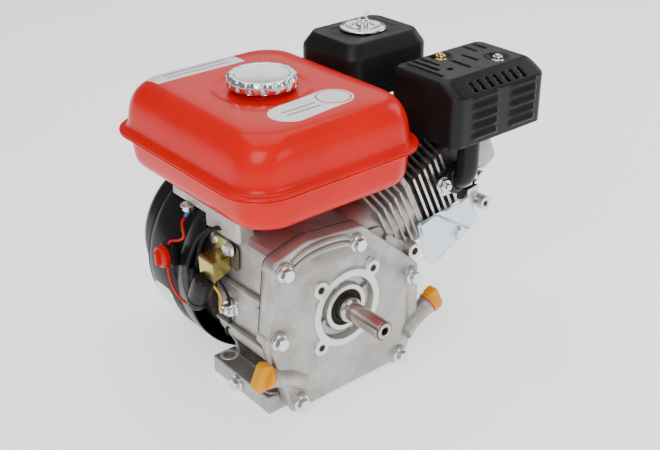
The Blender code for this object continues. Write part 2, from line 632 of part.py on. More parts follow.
def housing_outline(radius, right, top):
    """The scroll of the fan housing: a long arc that opens into a snout towards the cylinder."""
    start, end = math.radians(78.0), math.radians(348.0)
    steps = 24
    arc = [(radius * math.cos(start + (end - start) * k / steps),
            SHAFT_HEIGHT + radius * math.sin(start + (end - start) * k / steps)) for k in range(steps + 1)]
    return arc + [(right - 8, 88), (right, 96), (right, top - 14), (right - 14, top)]


def add_housing():
    housing = slab("blower_housing", [housing_outline(HOUSING_RADIUS, 126.0, 180.0)], HOUSING_FRONT,
                   HOUSING_BACK, "black_paint")
    room = slab("housing_room", [housing_outline(HOUSING_RADIUS - 2.0, 124.0, 178.0)], HOUSING_FRONT - 5,
                HOUSING_BACK - 2)
    mouth = rod("housing_mouth", 70.0, 190.0, 220.0, frame=CRANK, steps=32)
    cut(housing, room, mouth)
    recoil = turned("recoil_cover", [(0, RECOIL_BACK), (58, RECOIL_BACK), (72, 255), (80, 246), (82, 214),
                                     (90, 212), (90, HOUSING_BACK + GAP), (78, HOUSING_BACK + GAP), (78, 244),
                                     (70, 252), (57, 256), (8, 256), (8, 206), (0, 206)],
                    "black_paint", CRANK, 28)
    exit_boss = box("recoil_exit", (70, 224, SHAFT_HEIGHT + ROPE_RADIUS - 10),
                    (86, 240, SHAFT_HEIGHT + ROPE_RADIUS + 10), bevel=2.0)
    exit_hole = rod("recoil_exit_hole", 4.5, 30.0, 110.0, steps=12,
                    frame=place(0, 232, SHAFT_HEIGHT + ROPE_RADIUS, ALONG_X))
    join(recoil, exit_boss)
    cut(recoil, exit_hole)
    turned("recoil_reel", [(52, 241), (52, 239), (38, 238), (38, 226), (52, 225), (52, 223), (8 + GAP, 223),
                           (8 + GAP, 241)], "black_plastic", CRANK, 20)
    turned("starter_rope", [(ROPE_RADIUS + ROPE_THICKNESS, 236.5), (ROPE_RADIUS + ROPE_THICKNESS, 227.5),
                            (38 + GAP, 227.5), (38 + GAP, 236.5)], "rope_fibre", CRANK, 20)
    grip_z = SHAFT_HEIGHT + ROPE_RADIUS
    grip = rod("recoil_handle", 9.5, -30.0, 30.0, "black_rubber", place(98, 232, grip_z), steps=16)
    neck = rod("recoil_handle_neck", 7.0, 86.0 + GAP, 96.0, frame=place(0, 232, grip_z, ALONG_X), steps=16)
    join(grip, neck)
    cut(grip, rod("recoil_handle_bore", ROPE_THICKNESS + GAP, 70.0, 95.0, steps=10,
                  frame=place(0, 232, grip_z, ALONG_X)))


def tank_outline(left, right, near, far, radius):
    return rounded(rectangle(left, right, near, far, radius), 3)


def add_tank():
    wall = TANK_WALL
    seam = tank_outline(-112, 106, -6, 245, 40)
    lower = loft("fuel_tank_lower", [(tank_outline(-90, 84, 12, 225, 30), TANK_BOTTOM),
                                     (tank_outline(-100, 95, 2, 235, 34), TANK_BOTTOM + 7),
                                     (tank_outline(-102, 97, 1, 237, 34), TANK_SEAM - 3),
                                     (seam, TANK_SEAM - 1.5), (seam, TANK_SEAM)], "red_paint")
    lower_room = loft("tank_lower_room", [(tank_outline(-90 + wall, 84 - wall, 12 + wall, 225 - wall, 28),
                                           TANK_BOTTOM + wall),
                                          (tank_outline(-98, 93, 4, 233, 32), TANK_BOTTOM + 8),
                                          (tank_outline(-100, 95, 3, 235, 32), TANK_SEAM + 5)])
    cut(lower, lower_room)
    upper = loft("fuel_tank_upper", [(seam, TANK_SEAM + GAP), (seam, TANK_SEAM + 1.8),
                                     (tank_outline(-103, 98, 2, 237, 34), TANK_SEAM + 4),
                                     (tank_outline(-101, 97, 3, 236, 34), TANK_TOP - 22),
                                     (tank_outline(-96, 93, 7, 232, 32), TANK_TOP - 9),
                                     (tank_outline(-86, 85, 16, 223, 26), TANK_TOP)], "red_paint")
    upper_room = loft("tank_upper_room", [(tank_outline(-100, 95, 3, 235, 32), TANK_SEAM - 5),
                                          (tank_outline(-99, 95, 5, 234, 32), TANK_TOP - 24),
                                          (tank_outline(-93, 90, 10, 229, 30), TANK_TOP - 11),
                                          (tank_outline(-85, 84, 18, 222, 24), TANK_TOP - wall)])
    neck = rod("tank_neck", 26.0, TANK_TOP - 4, TANK_TOP + 7, frame=place(CAP_X, CAP_Y), steps=28)
    filler = rod("tank_filler", 22.0, TANK_TOP - 20, TANK_TOP + 20, frame=place(CAP_X, CAP_Y), steps=28)
    cut(upper, upper_room)
    join(upper, neck)
    cut(upper, filler)
    cap_frame = place(CAP_X, CAP_Y, TANK_TOP)
    turned("fuel_cap_gasket", [(26, 9.2), (26, 7 + GAP), (22, 7 + GAP), (22, 9.2)], "black_rubber", cap_frame, 20)
    turned("fuel_cap", [(0, 14), (31, 14), (34.5, 11), (35, 3), (32, 3), (32, 9.5), (0, 9.5)],
           "chrome", cap_frame, 28)


def add_exhaust():
    body = box("muffler_body", (GUARD_LEFT + 7, GUARD_NEAR + 8, GUARD_BOTTOM + 6),
               (GUARD_RIGHT - 7, GUARD_FAR - 6, GUARD_TOP - 6), "black_paint", GROUND, 8.0, 2)
    room = box("muffler_room", (GUARD_LEFT + 9, GUARD_NEAR + 10, GUARD_BOTTOM + 8),
               (GUARD_RIGHT - 9, GUARD_FAR - 8, GUARD_TOP - 8), bevel=7.0)
    inlet = rod("muffler_inlet", 13.0 + GAP, 220.0, 250.0, frame=place(EXHAUST_X, 12), steps=20)
    outlet = rod("muffler_outlet", 7.0, GUARD_FAR - 20, GUARD_FAR + 10, steps=16,
                 frame=place(GUARD_RIGHT - 30, 0, GUARD_BOTTOM + 30, ALONG_Y))
    cut(body, room, inlet, outlet)
    low, high = (GUARD_LEFT, GUARD_NEAR, GUARD_BOTTOM), (GUARD_RIGHT, GUARD_FAR, GUARD_TOP)
    guard = box("muffler_guard", low, high, "black_paint", GROUND, 9.0, 3)
    guard_room = box("guard_room", (low[0] + 1.6, low[1] + 1.6, low[2] - 20),
                     (high[0] - 1.6, high[1] - 1.6, high[2] - 1.6), bevel=8.0, segments=2)
    guard_floor = box("guard_floor", (low[0] - 9, low[1] - 9, low[2] - 9), (high[0] + 9, high[1] + 9, low[2] + 9.5))
    cut(guard, guard_room, guard_floor)
    skirt = plate("guard_skirt", [rounded(rectangle(low[0], high[0], low[1], high[1], 9.0), 3),
                                  rounded(rectangle(low[0] + 1.6, high[0] - 1.6, low[1] + 1.6, high[1] - 1.6, 7.4), 3)],
                  GUARD_BOTTOM, GUARD_BOTTOM + 10)
    join(guard, skirt)
    flange = plate("exhaust_pipe", [rounded([(-33, 0, 8), (0, -20, 14), (33, 0, 8), (0, 20, 14)])],
                   -HEAD_FACE_Y + GAP, -HEAD_FACE_Y + 6, "black_paint",
                   place(EXHAUST_X, 0, EXHAUST_Z, FACING_FRONT))
    elbow = pipe("exhaust_elbow", [(EXHAUST_X, 25.5, EXHAUST_Z), (EXHAUST_X, 21, EXHAUST_Z + 2),
                                   (EXHAUST_X, 15, EXHAUST_Z + 9), (EXHAUST_X, 12, EXHAUST_Z + 22),
                                   (EXHAUST_X, 12, 241)], 11.0, sides=3)
    join(flange, elbow)
    gas_way = pipe("exhaust_way", [(EXHAUST_X, 36, EXHAUST_Z), (EXHAUST_X, 22, EXHAUST_Z + 2),
                                   (EXHAUST_X, 15, EXHAUST_Z + 9), (EXHAUST_X, 12, EXHAUST_Z + 22),
                                   (EXHAUST_X, 12, 250)], 9.0, sides=2)
    cut(flange, gas_way)


def add_air_cleaner():
    left, right, near, far = FILTER_LEFT, FILTER_RIGHT, FILTER_NEAR, FILTER_FAR
    base = plate("air_filter_base", [rounded(rectangle(left + 4, right - 4, near + 4, far - 4, 18))],
                 256.0, 262.0, "black_plastic")
    elbow = pipe("filter_elbow", [(176, 160.5, 190), (176, 176, 192), (174, 186, 212), (168, 180, 240),
                                  (166, 176, 259)], 12.0, sides=2)
    stud = rod("filter_stud", 3.0, 255.0, FILTER_TOP + 8, frame=place(FILTER_STUD_X, FILTER_STUD_Y), steps=12)
    air_way = pipe("filter_way", [(176, 150, 190), (176, 176, 192), (174, 186, 212), (168, 180, 240),
                                  (166, 180, 275)], 9.0, sides=2)
    join(base, elbow)
    cut(base, air_way)
    join(base, stud)
    plate("air_filter_element", [rounded(rectangle(left + 10, right - 10, near + 10, far - 10, 20)),
                                 rounded(rectangle(left + 30, right - 30, near + 26, far - 12.5, 14))],
          262 + GAP, 296.0, "filter_foam")
    cover = loft("air_filter_cover",
                 [(tank_outline(left, right, near, far, 16), 262 + GAP),
                  (tank_outline(left, right, near, far, 16), FILTER_EDGE),
                  (tank_outline(left + 8, right - 9, near + 8, far - 8, 12), FILTER_TOP)], "black_plastic")
    cover_room = loft("filter_room",
                      [(tank_outline(left + 2, right - 2, near + 2, far - 2, 14), 250),
                       (tank_outline(left + 2, right - 2, near + 2, far - 2, 14), FILTER_EDGE - 1),
                       (tank_outline(left + 10, right - 11, near + 10, far - 10, 10), FILTER_TOP - 3)])
    hole = rod("filter_cover_hole", 4.0, 300, 330, frame=place(FILTER_STUD_X, FILTER_STUD_Y), steps=12)
    cut(cover, cover_room, hole)
    top = place(FILTER_STUD_X, FILTER_STUD_Y, FILTER_TOP)
    nut = turned("air_filter_wing_nut", [(7, 10), (9, 3.4), (24, 2.4), (25, 1.4), (25, GAP),
                                         (3 + GAP, GAP), (3 + GAP, 10)], "chrome", top, 20)
    for side in (-1, 1):
        wing = box(f"wing_{side}", (5, -1.2, 4), (17, 1.2, 15), bevel=1.0,
                   frame=top @ Matrix.Rotation(math.radians(30 + 90 * (1 - side)), 4, "Z"))
        join(nut, wing)


def add_carburettor():
    body = box("carburetor_body", (-18, 120, -15), (18, 158, 17), "cast_aluminium", place(176, 0, 190), 3.0)
    flange = box("carburetor_flange", (-20, 117 + GAP, -14), (20, 121, 14), frame=place(176, 0, 190), bevel=1.0)
    outer = box("carburetor_outer_flange", (-20, 156, -14), (20, 160, 14), frame=place(176, 0, 190), bevel=1.0)
    throat = rod("carburetor_throat", 9.0, 110, 170, frame=place(176, 0, 190, ALONG_Y), steps=16)
    join(body, flange, outer)
    cut(body, throat)
    turned("float_bowl", [(0, 175 - GAP), (19, 175 - GAP), (19, 152), (14, 148), (0, 148)], "zinc_plate",
           place(176, 138), 24)
    for name, y, z, turn, reach in (("choke_lever", 140, 198, 90, 34), ("fuel_valve_lever", 131, 184, -90, 28)):
        frame = place(197, y, z, ALONG_X @ Matrix.Rotation(math.radians(turn), 4, "Z"))
        lever = plate(name, [rounded([(-5, -6, 4), (5, -6, 4), (4, reach, 4), (-4, reach, 4)])], 0.0, 3.0,
                      "black_plastic", frame)
        join(lever, rod(name + "_spindle", 3.0, -3.0 + GAP, 1.0, frame=frame, steps=10))
    plate("throttle_lever", [rounded([(-5, -6, 4), (5, -6, 4), (4, 40, 4), (-4, 40, 4)])], 0.0, 2.5,
          "zinc_plate", place(103, 175, 209.5 + GAP, Matrix.Rotation(math.radians(-90), 4, "Z")))
    box("control_bracket", (50, 150, 207), (110, 205, 209.5), "zinc_plate", bevel=0.5)


def add_oil_caps():
    for side, (x, z, sign) in OIL_NECKS.items():
        frame = oil_neck_frame(x, z, sign)
        cap = rod(f"oil_filler_cap_{side}", 12.0, OIL_NECK_END + GAP, 13.0, "yellow_plastic", frame, steps=20)
        grip = box(f"oil_cap_grip_{side}", (-5, -14.5, 11), (5, 14.5, 25), frame=frame, bevel=2.0)
        stick = rod(f"oil_cap_stick_{side}", 5.4, -8.0, 10.0, frame=frame, steps=10)
        tip = rod(f"oil_cap_tip_{side}", 2.2, -30.0, -6.0, frame=frame, steps=8)
        join(cap, grip, stick, tip)


def add_electrics():
    switch = place(-99.6, 155, 137, ALONG_X @ Matrix.Rotation(math.pi, 4, "X"))
    box("stop_switch_base", (-11, -11, 0), (11, 11, 7), "black_plastic", switch, 2.0)
    knob = turned("stop_switch_knob", [(0, 15), (9, 15), (11, 13.5), (11.5, 7 + GAP), (0, 7 + GAP)],
                  "red_plastic", switch, 24)
    fin = box("switch_fin", (-9, -2.5, 13), (9, 2.5, 19.4), frame=switch, bevel=1.0)
    join(knob, fin)
    lower, upper = Vector((-100, 115, 96)), Vector((-100, 99, 127))
    unit = place(*lower, along(upper - lower))
    length = (upper - lower).length
    turned("oil_alert_unit", [(0, length), (11, length), (11, 4), (8, 0), (0, 0)], "black_plastic", unit, 24)
    clamp = box("oil_alert_clamp", (-99, 80, 135), (-77, 105, 157), "yellow_zinc", GROUND, 1.5)
    tab = box("clamp_tab", (-80, 68, 150), (-77, 100, 175), bevel=0.5)
    join(clamp, tab)
    cut(clamp, box("clamp_gap", (-97, 70, 130), (-79.9, 103, 155)))
    turned("oil_level_switch", [(0, 14), (5, 14), (6, 9), (9, 8), (9, GAP), (4, GAP), (4, -6), (0, -6)],
           "zinc_plate", place(-76, 86, 97, ALONG_X @ Matrix.Rotation(math.pi, 4, "X")), 16)
    drain_frame = place(-79, 80, 9.5, ALONG_X @ Matrix.Rotation(math.pi, 4, "X"))
    drain = rod("oil_drain_plug", 8.5, GAP, 2.0, "zinc_plate", drain_frame, steps=16)
    join(drain, rod("drain_head", 7.0, 1.0, 7.0, frame=drain_frame, steps=6),
         rod("drain_shank", 5.0, -14.0, 1.0, frame=drain_frame, steps=12))


def add_lower_shroud():
    outline = [(118, 146, 3), (152, 149.5, 12), (182, 150, 10), (194, 154, 4), (204, 136, 6),
               (214, 120, 8), (136, 84, 14)]
    slab("lower_shroud", [rounded(outline), circle(176, 117, 4.5, 12)], 27.0, 28.6, "zinc_plate")


add_crankcase()
add_cover()
add_cover_bolts()
add_head()
add_spark_plug()
add_crank_train()
add_piston()
add_bearings()
add_flywheel()
add_housing()
add_tank()
add_exhaust()
add_air_cleaner()
add_carburettor()
add_oil_caps()
add_electrics()
add_lower_shroud()
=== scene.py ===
import json
import math

import bmesh
import bpy
import numpy as np
from mathutils import Matrix, Vector


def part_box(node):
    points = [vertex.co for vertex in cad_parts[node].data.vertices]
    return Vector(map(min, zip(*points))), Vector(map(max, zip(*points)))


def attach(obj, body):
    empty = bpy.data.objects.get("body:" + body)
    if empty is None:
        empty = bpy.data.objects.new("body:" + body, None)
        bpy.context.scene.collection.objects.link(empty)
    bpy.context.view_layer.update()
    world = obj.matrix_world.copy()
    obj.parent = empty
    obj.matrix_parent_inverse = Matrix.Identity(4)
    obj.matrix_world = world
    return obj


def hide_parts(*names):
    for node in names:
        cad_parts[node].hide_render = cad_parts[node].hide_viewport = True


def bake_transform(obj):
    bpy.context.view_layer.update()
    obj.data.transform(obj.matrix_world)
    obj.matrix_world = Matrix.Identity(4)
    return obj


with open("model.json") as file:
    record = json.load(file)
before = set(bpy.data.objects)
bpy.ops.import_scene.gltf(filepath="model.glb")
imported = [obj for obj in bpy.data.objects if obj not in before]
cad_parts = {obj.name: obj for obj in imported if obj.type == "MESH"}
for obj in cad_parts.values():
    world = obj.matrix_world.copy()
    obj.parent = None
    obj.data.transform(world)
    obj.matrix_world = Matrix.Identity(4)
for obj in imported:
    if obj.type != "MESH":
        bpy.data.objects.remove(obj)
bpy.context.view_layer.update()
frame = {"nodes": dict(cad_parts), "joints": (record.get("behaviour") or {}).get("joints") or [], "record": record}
record = frame["record"]
joints = {joint["name"]: joint for joint in frame["joints"]}
mounts = {mount["name"]: mount for mount in record["mounts"]}
slotOf = {part["node"]: part["material_slot"] for part in record["subparts"]}
bodyOf = {node: body for body, nodes in record["behaviour"]["bodies"].items() for node in nodes}

# millimetres are counted from the crank's axis, the flange face and the floor
shaftHeight = joints["crankshaft_spin"]["pos_m"][2] * 1000
engineOrigin = np.array([joints["crankshaft_spin"]["pos_m"][0], mounts["pto_face"]["pos_m"][1], 0.0])
gap = 0.3
fullTurn = 2 * math.pi


def unit(vectors):
    return vectors / np.linalg.norm(vectors, axis=-1, keepdims=True)


# 0 up to 1 with level ends: three squares less two cubes
def softStep(value):
    value = np.clip(value, 0, 1)
    return value * value * (3 - 2 * value)


def millimetres(node):
    low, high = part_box(node)
    return [(np.array(corner) - engineOrigin) * 1000 for corner in (low, high)]


# a frame is a turn whose columns are the local axes, and a starting point
def pose(point, zAxis=(0, 0, 1), xAxis=(1, 0, 0)):
    z = unit(np.array(zAxis, float))
    y = unit(np.cross(z, np.array(xAxis, float)))
    return np.stack([np.cross(y, z), y, z], 1), np.array(point, float)


def front(y=0.0, x=0.0, z=0.0):  # outlines in X and Z, heights towards the shaft's tip
    return pose((x, y, z), (0, -1, 0))


def back(y=0.0, x=0.0, z=0.0):  # heights away from the shaft's tip
    return pose((x, y, z), (0, 1, 0))


def leftward(x, y, z):  # heights towards the left side
    return pose((x, y, z), (-1, 0, 0), (0, 0, 1))


# the same frame tipped over, so that an outline stands up along its old height
def tipped(where):
    return where[0] @ np.array([[1.0, 0, 0], [0, 0, -1], [0, 1, 0]]), where[1]


cylinderTilt = math.radians(25)
boreAxis = np.array([math.cos(cylinderTilt), 0, math.sin(cylinderTilt)])
boreSide = np.array([math.sin(cylinderTilt), 0, -math.cos(cylinderTilt)])
cylinder = pose((0, 72, shaftHeight), boreAxis, boreSide)
crankAxis = back(0.0, 0, shaftHeight)


def placed(points, where):
    turn, start = where
    return points @ turn.T + start


def joined(*shapes):
    count, points, faces = 0, [], []
    for vertices, polygons in shapes:
        points.append(vertices)
        faces.extend([[index + count for index in polygon] for polygon in polygons])
        count += len(vertices)
    return np.concatenate(points), faces


# rows of points become quads, and each row closes on itself; the rows run up outside and down inside
def skin(rows, where=None, ends=True, tube=False):
    rows = np.asarray(rows, float)
    count, around = rows.shape[:2]
    row = np.arange(count if tube else count - 1)[:, None]
    column = np.arange(around)[None, :]
    above, beside = (row + 1) % count, (column + 1) % around
    quads = np.stack(np.broadcast_arrays(row * around + column, row * around + beside,
                                         above * around + beside, above * around + column), -1)
    faces = quads.reshape(-1, 4).tolist()
    if ends and not tube:
        faces.append(np.arange(around)[::-1].tolist())
        faces.append((np.arange(around) + (count - 1) * around).tolist())
    points = rows.reshape(-1, 3)
    if where is not None:
        points = placed(points, where)
    corners = points[quads.reshape(-1, 4)] - points.mean(0)
    volume = (corners[:, 0] * (np.cross(corners[:, 1], corners[:, 2]) + np.cross(corners[:, 2],
            corners[:, 3]))).sum()
    return points, faces if volume > 0 else [face[::-1] for face in faces]


# an open sheet of points, u by v, given a wall by moving a copy along its normals
def sheet(points, thickness, keep=None):
    points = np.asarray(points, float)
    rows, columns = points.shape[:2]
    across = np.gradient(points, axis=1)
    along = np.gradient(points, axis=0)
    normals = unit(np.cross(across, along))
    both = np.concatenate([points.reshape(-1, 3), (points - normals * thickness).reshape(-1, 3)])
    i, j = np.meshgrid(np.arange(rows - 1), np.arange(columns - 1), indexing="ij")
    keep = np.ones(i.shape, bool) if keep is None else keep
    corner = i * columns + j
    quads = np.stack([corner, corner + 1, corner + columns + 1, corner + columns], -1)
    size = rows * columns
    faces = [quads[keep], quads[keep][:, ::-1] + size]
    padded = np.pad(keep, 1)
    inside = padded[1:-1, 1:-1]
    for shift, first, second in (((0, 1), 0, 1), ((1, 2), 1, 2), ((2, 1), 2, 3), ((1, 0), 3, 0)):
        beyond = padded[shift[0]:shift[0] + rows - 1, shift[1]:shift[1] + columns - 1]
        rim = quads[inside & ~beyond]
        faces.append(np.stack([rim[:, second], rim[:, first], rim[:, first] + size, rim[:, second] + size],
                -1))
    return both, np.concatenate(faces).tolist()


# each corner becomes an arc that touches both of its sides: centre plus two turning parts of its end points
def roundLoop(corners, radii, steps=8):
    points = np.array(corners, float)
    radii = np.broadcast_to(np.array(radii, float), len(points))
    before, after = unit(np.roll(points, 1, 0) - points), unit(np.roll(points, -1, 0) - points)
    half = 0.5 * np.arccos(np.clip((before * after).sum(1), -0.9999, 0.9999))
    sides = np.linalg.norm(np.roll(points, -1, 0) - points, axis=1)
    room = 0.49 * np.minimum(sides, np.roll(sides, 1))
    radii = np.minimum(radii, room * np.tan(half))
    reach = (radii / np.tan(half))[:, None]
    centre = points + unit(before + after) * (radii / np.sin(half))[:, None]
    sweep = (math.pi - 2 * half)[:, None]
    t = np.linspace(0, 1, steps)[None, :]
    first, last = np.sin((1 - t) * sweep) / np.sin(sweep), np.sin(t * sweep) / np.sin(sweep)
    arcs = (centre[:, None] + first[..., None] * (points + before * reach - centre)[:, None]
            + last[..., None] * (points + after * reach - centre)[:, None])
    return arcs.reshape(-1, 2)


# every side moves inwards by the same distance, so a corner slides along its bisector
def insetCorners(corners, distance):
    points = np.array(corners, float)
    side = unit(np.roll(points, -1, 0) - points)
    inward = np.stack([-side[:, 1], side[:, 0]], 1)
    previous = np.roll(inward, 1, 0)
    return points + distance * (inward + previous) / (1 + (inward * previous).sum(1))[:, None]


# the same loop with its points spaced evenly along its length, from the same starting point
def evenly(loop, count):
    closed = np.concatenate([loop, loop[:1]])
    length = np.concatenate([[0], np.cumsum(np.linalg.norm(np.diff(closed, axis=0), axis=1))])
    marks = np.arange(count) / count * length[-1]
    return np.stack([np.interp(marks, length, closed[:, k]) for k in range(loop.shape[1])], 1)


def box(left, right, near, far):
    return [(left, near), (right, near), (right, far), (left, far)]


def level(loop, height):
    return np.concatenate([loop, np.full((len(loop), 1), float(height))], 1)


def circle(steps):
    angle = np.arange(steps) / steps * fullTurn
    return np.stack([np.cos(angle), np.sin(angle)], 1)


# a solid from an outline: both rims are quarter rounds, each row being the outline moved in by its depth
def slab(corners, radii, low, high, edge=1.0, steps=8, where=None, lowEdge=None):
    lowEdge = edge if lowEdge is None else lowEdge
    turn = np.linspace(0, math.pi / 2, 5)
    depths = np.concatenate([lowEdge * (1 - np.sin(turn)), edge * (1 - np.cos(turn))])
    heights = np.concatenate([low + lowEdge * (1 - np.cos(turn)), high - edge * (1 - np.sin(turn))])
    radii = np.array(radii, float)
    rows = [level(roundLoop(insetCorners(corners, depth), np.maximum(radii - depth, 0.2), steps), height)
            for depth, height in zip(depths, heights)]
    return skin(rows, where)


# a turned shape: every (radius, height) of the profile goes round the local Z axis
def turned(profile, where=None, steps=48, ends=True, tube=False):
    profile = np.array(profile, float)
    angle = np.arange(steps) / steps * fullTurn
    rows = np.stack([profile[:, :1] * np.cos(angle), profile[:, :1] * np.sin(angle),
                     np.broadcast_to(profile[:, 1:], (len(profile), steps))], -1)
    return skin(rows, where, ends, tube)


# a profile's corners become short arcs, so a turned edge has a small round
def eased(profile, radius=0.6, steps=4):
    points = np.array(profile, float)
    inner = points[1:-1]
    before, after = points[:-2] - inner, points[2:] - inner
    room = np.minimum(np.linalg.norm(before, axis=1), np.linalg.norm(after, axis=1)) * 0.45
    cut = np.minimum(radius, room)[:, None]
    start, end = inner + unit(before) * cut, inner + unit(after) * cut
    t = np.linspace(0, 1, steps)[None, :, None]
    arcs = (1 - t) ** 2 * start[:, None] + 2 * t * (1 - t) * inner[:, None] + t ** 2 * end[:, None]
    return np.concatenate([points[:1], arcs.reshape(-1, 2), points[-1:]])


# a turned shape with eased corners
def lathe(profile, edge, where, steps=48, tube=False, arc=4):
    return turned(eased(profile, edge, arc), where, steps, tube=tube)


# a smooth line through points: each span is the cubic whose slopes come from its neighbours
def smoothLine(points, steps=10):
    points = np.array(points, float)
    padded = np.concatenate([2 * points[:1] - points[1:2], points, 2 * points[-1:] - points[-2:-1]])
    a, b, c, d = padded[:-3, None], padded[1:-2, None], padded[2:-1, None], padded[3:, None]
    t = (np.arange(steps) / steps)[None, :, None]
    spans = 0.5 * (2 * b + (c - a) * t + (2 * a - 5 * b + 4 * c - d) * t ** 2
                   + (3 * b - a - 3 * c + d) * t ** 3)
    return np.concatenate([spans.reshape(-1, points.shape[1]), points[-1:]])


# a tube: a circle square to the line at every point, its zero mark kept level with the line's flattest side
def tube(line, radius, steps=16, radii=None):
    line = np.array(line, float)
    tangent = unit(np.gradient(line, axis=0))
    flat = np.linalg.svd(line - line.mean(0))[2][2] if len(line) > 2 else np.array([0.0, 0.0, 1.0])
    side = unit(np.cross(tangent, flat))
    other = np.cross(tangent, side)
    angle = np.arange(steps) / steps * fullTurn
    radii = np.broadcast_to(radius if radii is None else radii, len(line))[:, None, None]
    ring = np.cos(angle)[None, :, None] * side[:, None] + np.sin(angle)[None, :, None] * other[:, None]
    return skin(line[:, None] + radii * ring)


# a flanged hex head: the six flats are radius / cos(angle from the nearest flat), cut by a cone at the top
def hexHead(flat, height, flange=0.0, where=None, steps=48, dish=0.0):
    angle = np.arange(steps) / steps * fullTurn
    hexagon = flat / np.cos((angle % (fullTurn / 6)) - fullTurn / 12)
    rows = []
    if flange:
        rows += [(np.full(steps, flange - 0.3), 0.0), (np.full(steps, flange), 0.3),
                 (np.full(steps, flange), 1.0), (np.full(steps, flange - 0.6), 1.5), (hexagon + 0.3, 2.0)]
    else:
        rows += [(hexagon - 0.2, 0.0)]
    base = 2.2 if flange else 0.3
    rows += [(hexagon, base + 0.2)]
    rows += [(np.minimum(hexagon, flat * (1.155 - 0.075 * k)), height - 0.9 + 0.45 * k) for k in range(3)]
    rows += [(np.full(steps, flat * 0.86), height), (np.full(steps, flat * 0.72), height - dish),
             (np.full(steps, flat * 0.1), height - dish)]
    grid = np.stack([np.stack([r * np.cos(angle), r * np.sin(angle), np.full(steps, z)], -1) for r,
                     z in rows])
    return skin(grid, where)


def piece(name, shape, finish, body, nodes=(), crease=38):
    points, faces = shape
    mesh = bpy.data.meshes.new(name)
    mesh.from_pydata((np.asarray(points) * 0.001 + engineOrigin).tolist(), [], faces)
    return shown(name, mesh, finish, body, nodes, crease)


def shown(name, mesh, finish, body, nodes=(), crease=38):
    mesh.materials.clear()
    mesh.materials.append(finishes[finish])
    mesh.polygons.foreach_set("use_smooth", np.ones(len(mesh.polygons), bool))
    mesh.set_sharp_from_angle(angle=math.radians(crease))
    mesh.update()
    made = bpy.data.objects.new(name, mesh)
    bpy.context.scene.collection.objects.link(made)
    if body:
        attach(made, body)
    if nodes:
        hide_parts(*nodes)
    return made


# a copy of a CAD node with its doubles merged and its edges rounded
def softened(node, finish, edge=0.8, angle=32):
    source = frame["nodes"][node]
    shape = bmesh.new()
    shape.from_mesh(source.data)
    bmesh.ops.remove_doubles(shape, verts=shape.verts, dist=2e-6)
    bmesh.ops.dissolve_limit(shape, angle_limit=math.radians(0.5), verts=shape.verts, edges=shape.edges)
    mesh = bpy.data.meshes.new(node + "Soft")
    shape.to_mesh(mesh)
    shape.free()
    made = shown(node + "Soft", mesh, finish, bodyOf[node], [node], angle)
    rim = made.modifiers.new("rim", "BEVEL")
    rim.width = edge * 0.001
    rim.segments = 2
    rim.limit_method = "ANGLE"
    rim.angle_limit = math.radians(angle)
    return made


# a socket that can stand in a sum: each operator adds the Math node it names
class Wire:
    def __init__(self, maker, socket):
        self.maker, self.socket = maker, socket

    def __add__(self, other):
        return self.maker.maths("ADD", self, other)

    def __sub__(self, other):
        return self.maker.maths("SUBTRACT", self, other)

    def __rsub__(self, other):
        return self.maker.maths("SUBTRACT", other, self)

    def __mul__(self, other):
        return self.maker.maths("MULTIPLY", self, other)

    def __pow__(self, other):
        return self.maker.maths("POWER", self, other)

    __radd__ = __add__
    __rmul__ = __mul__

    def between(self, low, high):  # 0 below low, 1 above high, straight in between
        return self.maker.node("ShaderNodeMapRange", {"clamp": True},
                               {0: self, 1: low, 2: high, 3: 0.0, 4: 1.0}, "Result")


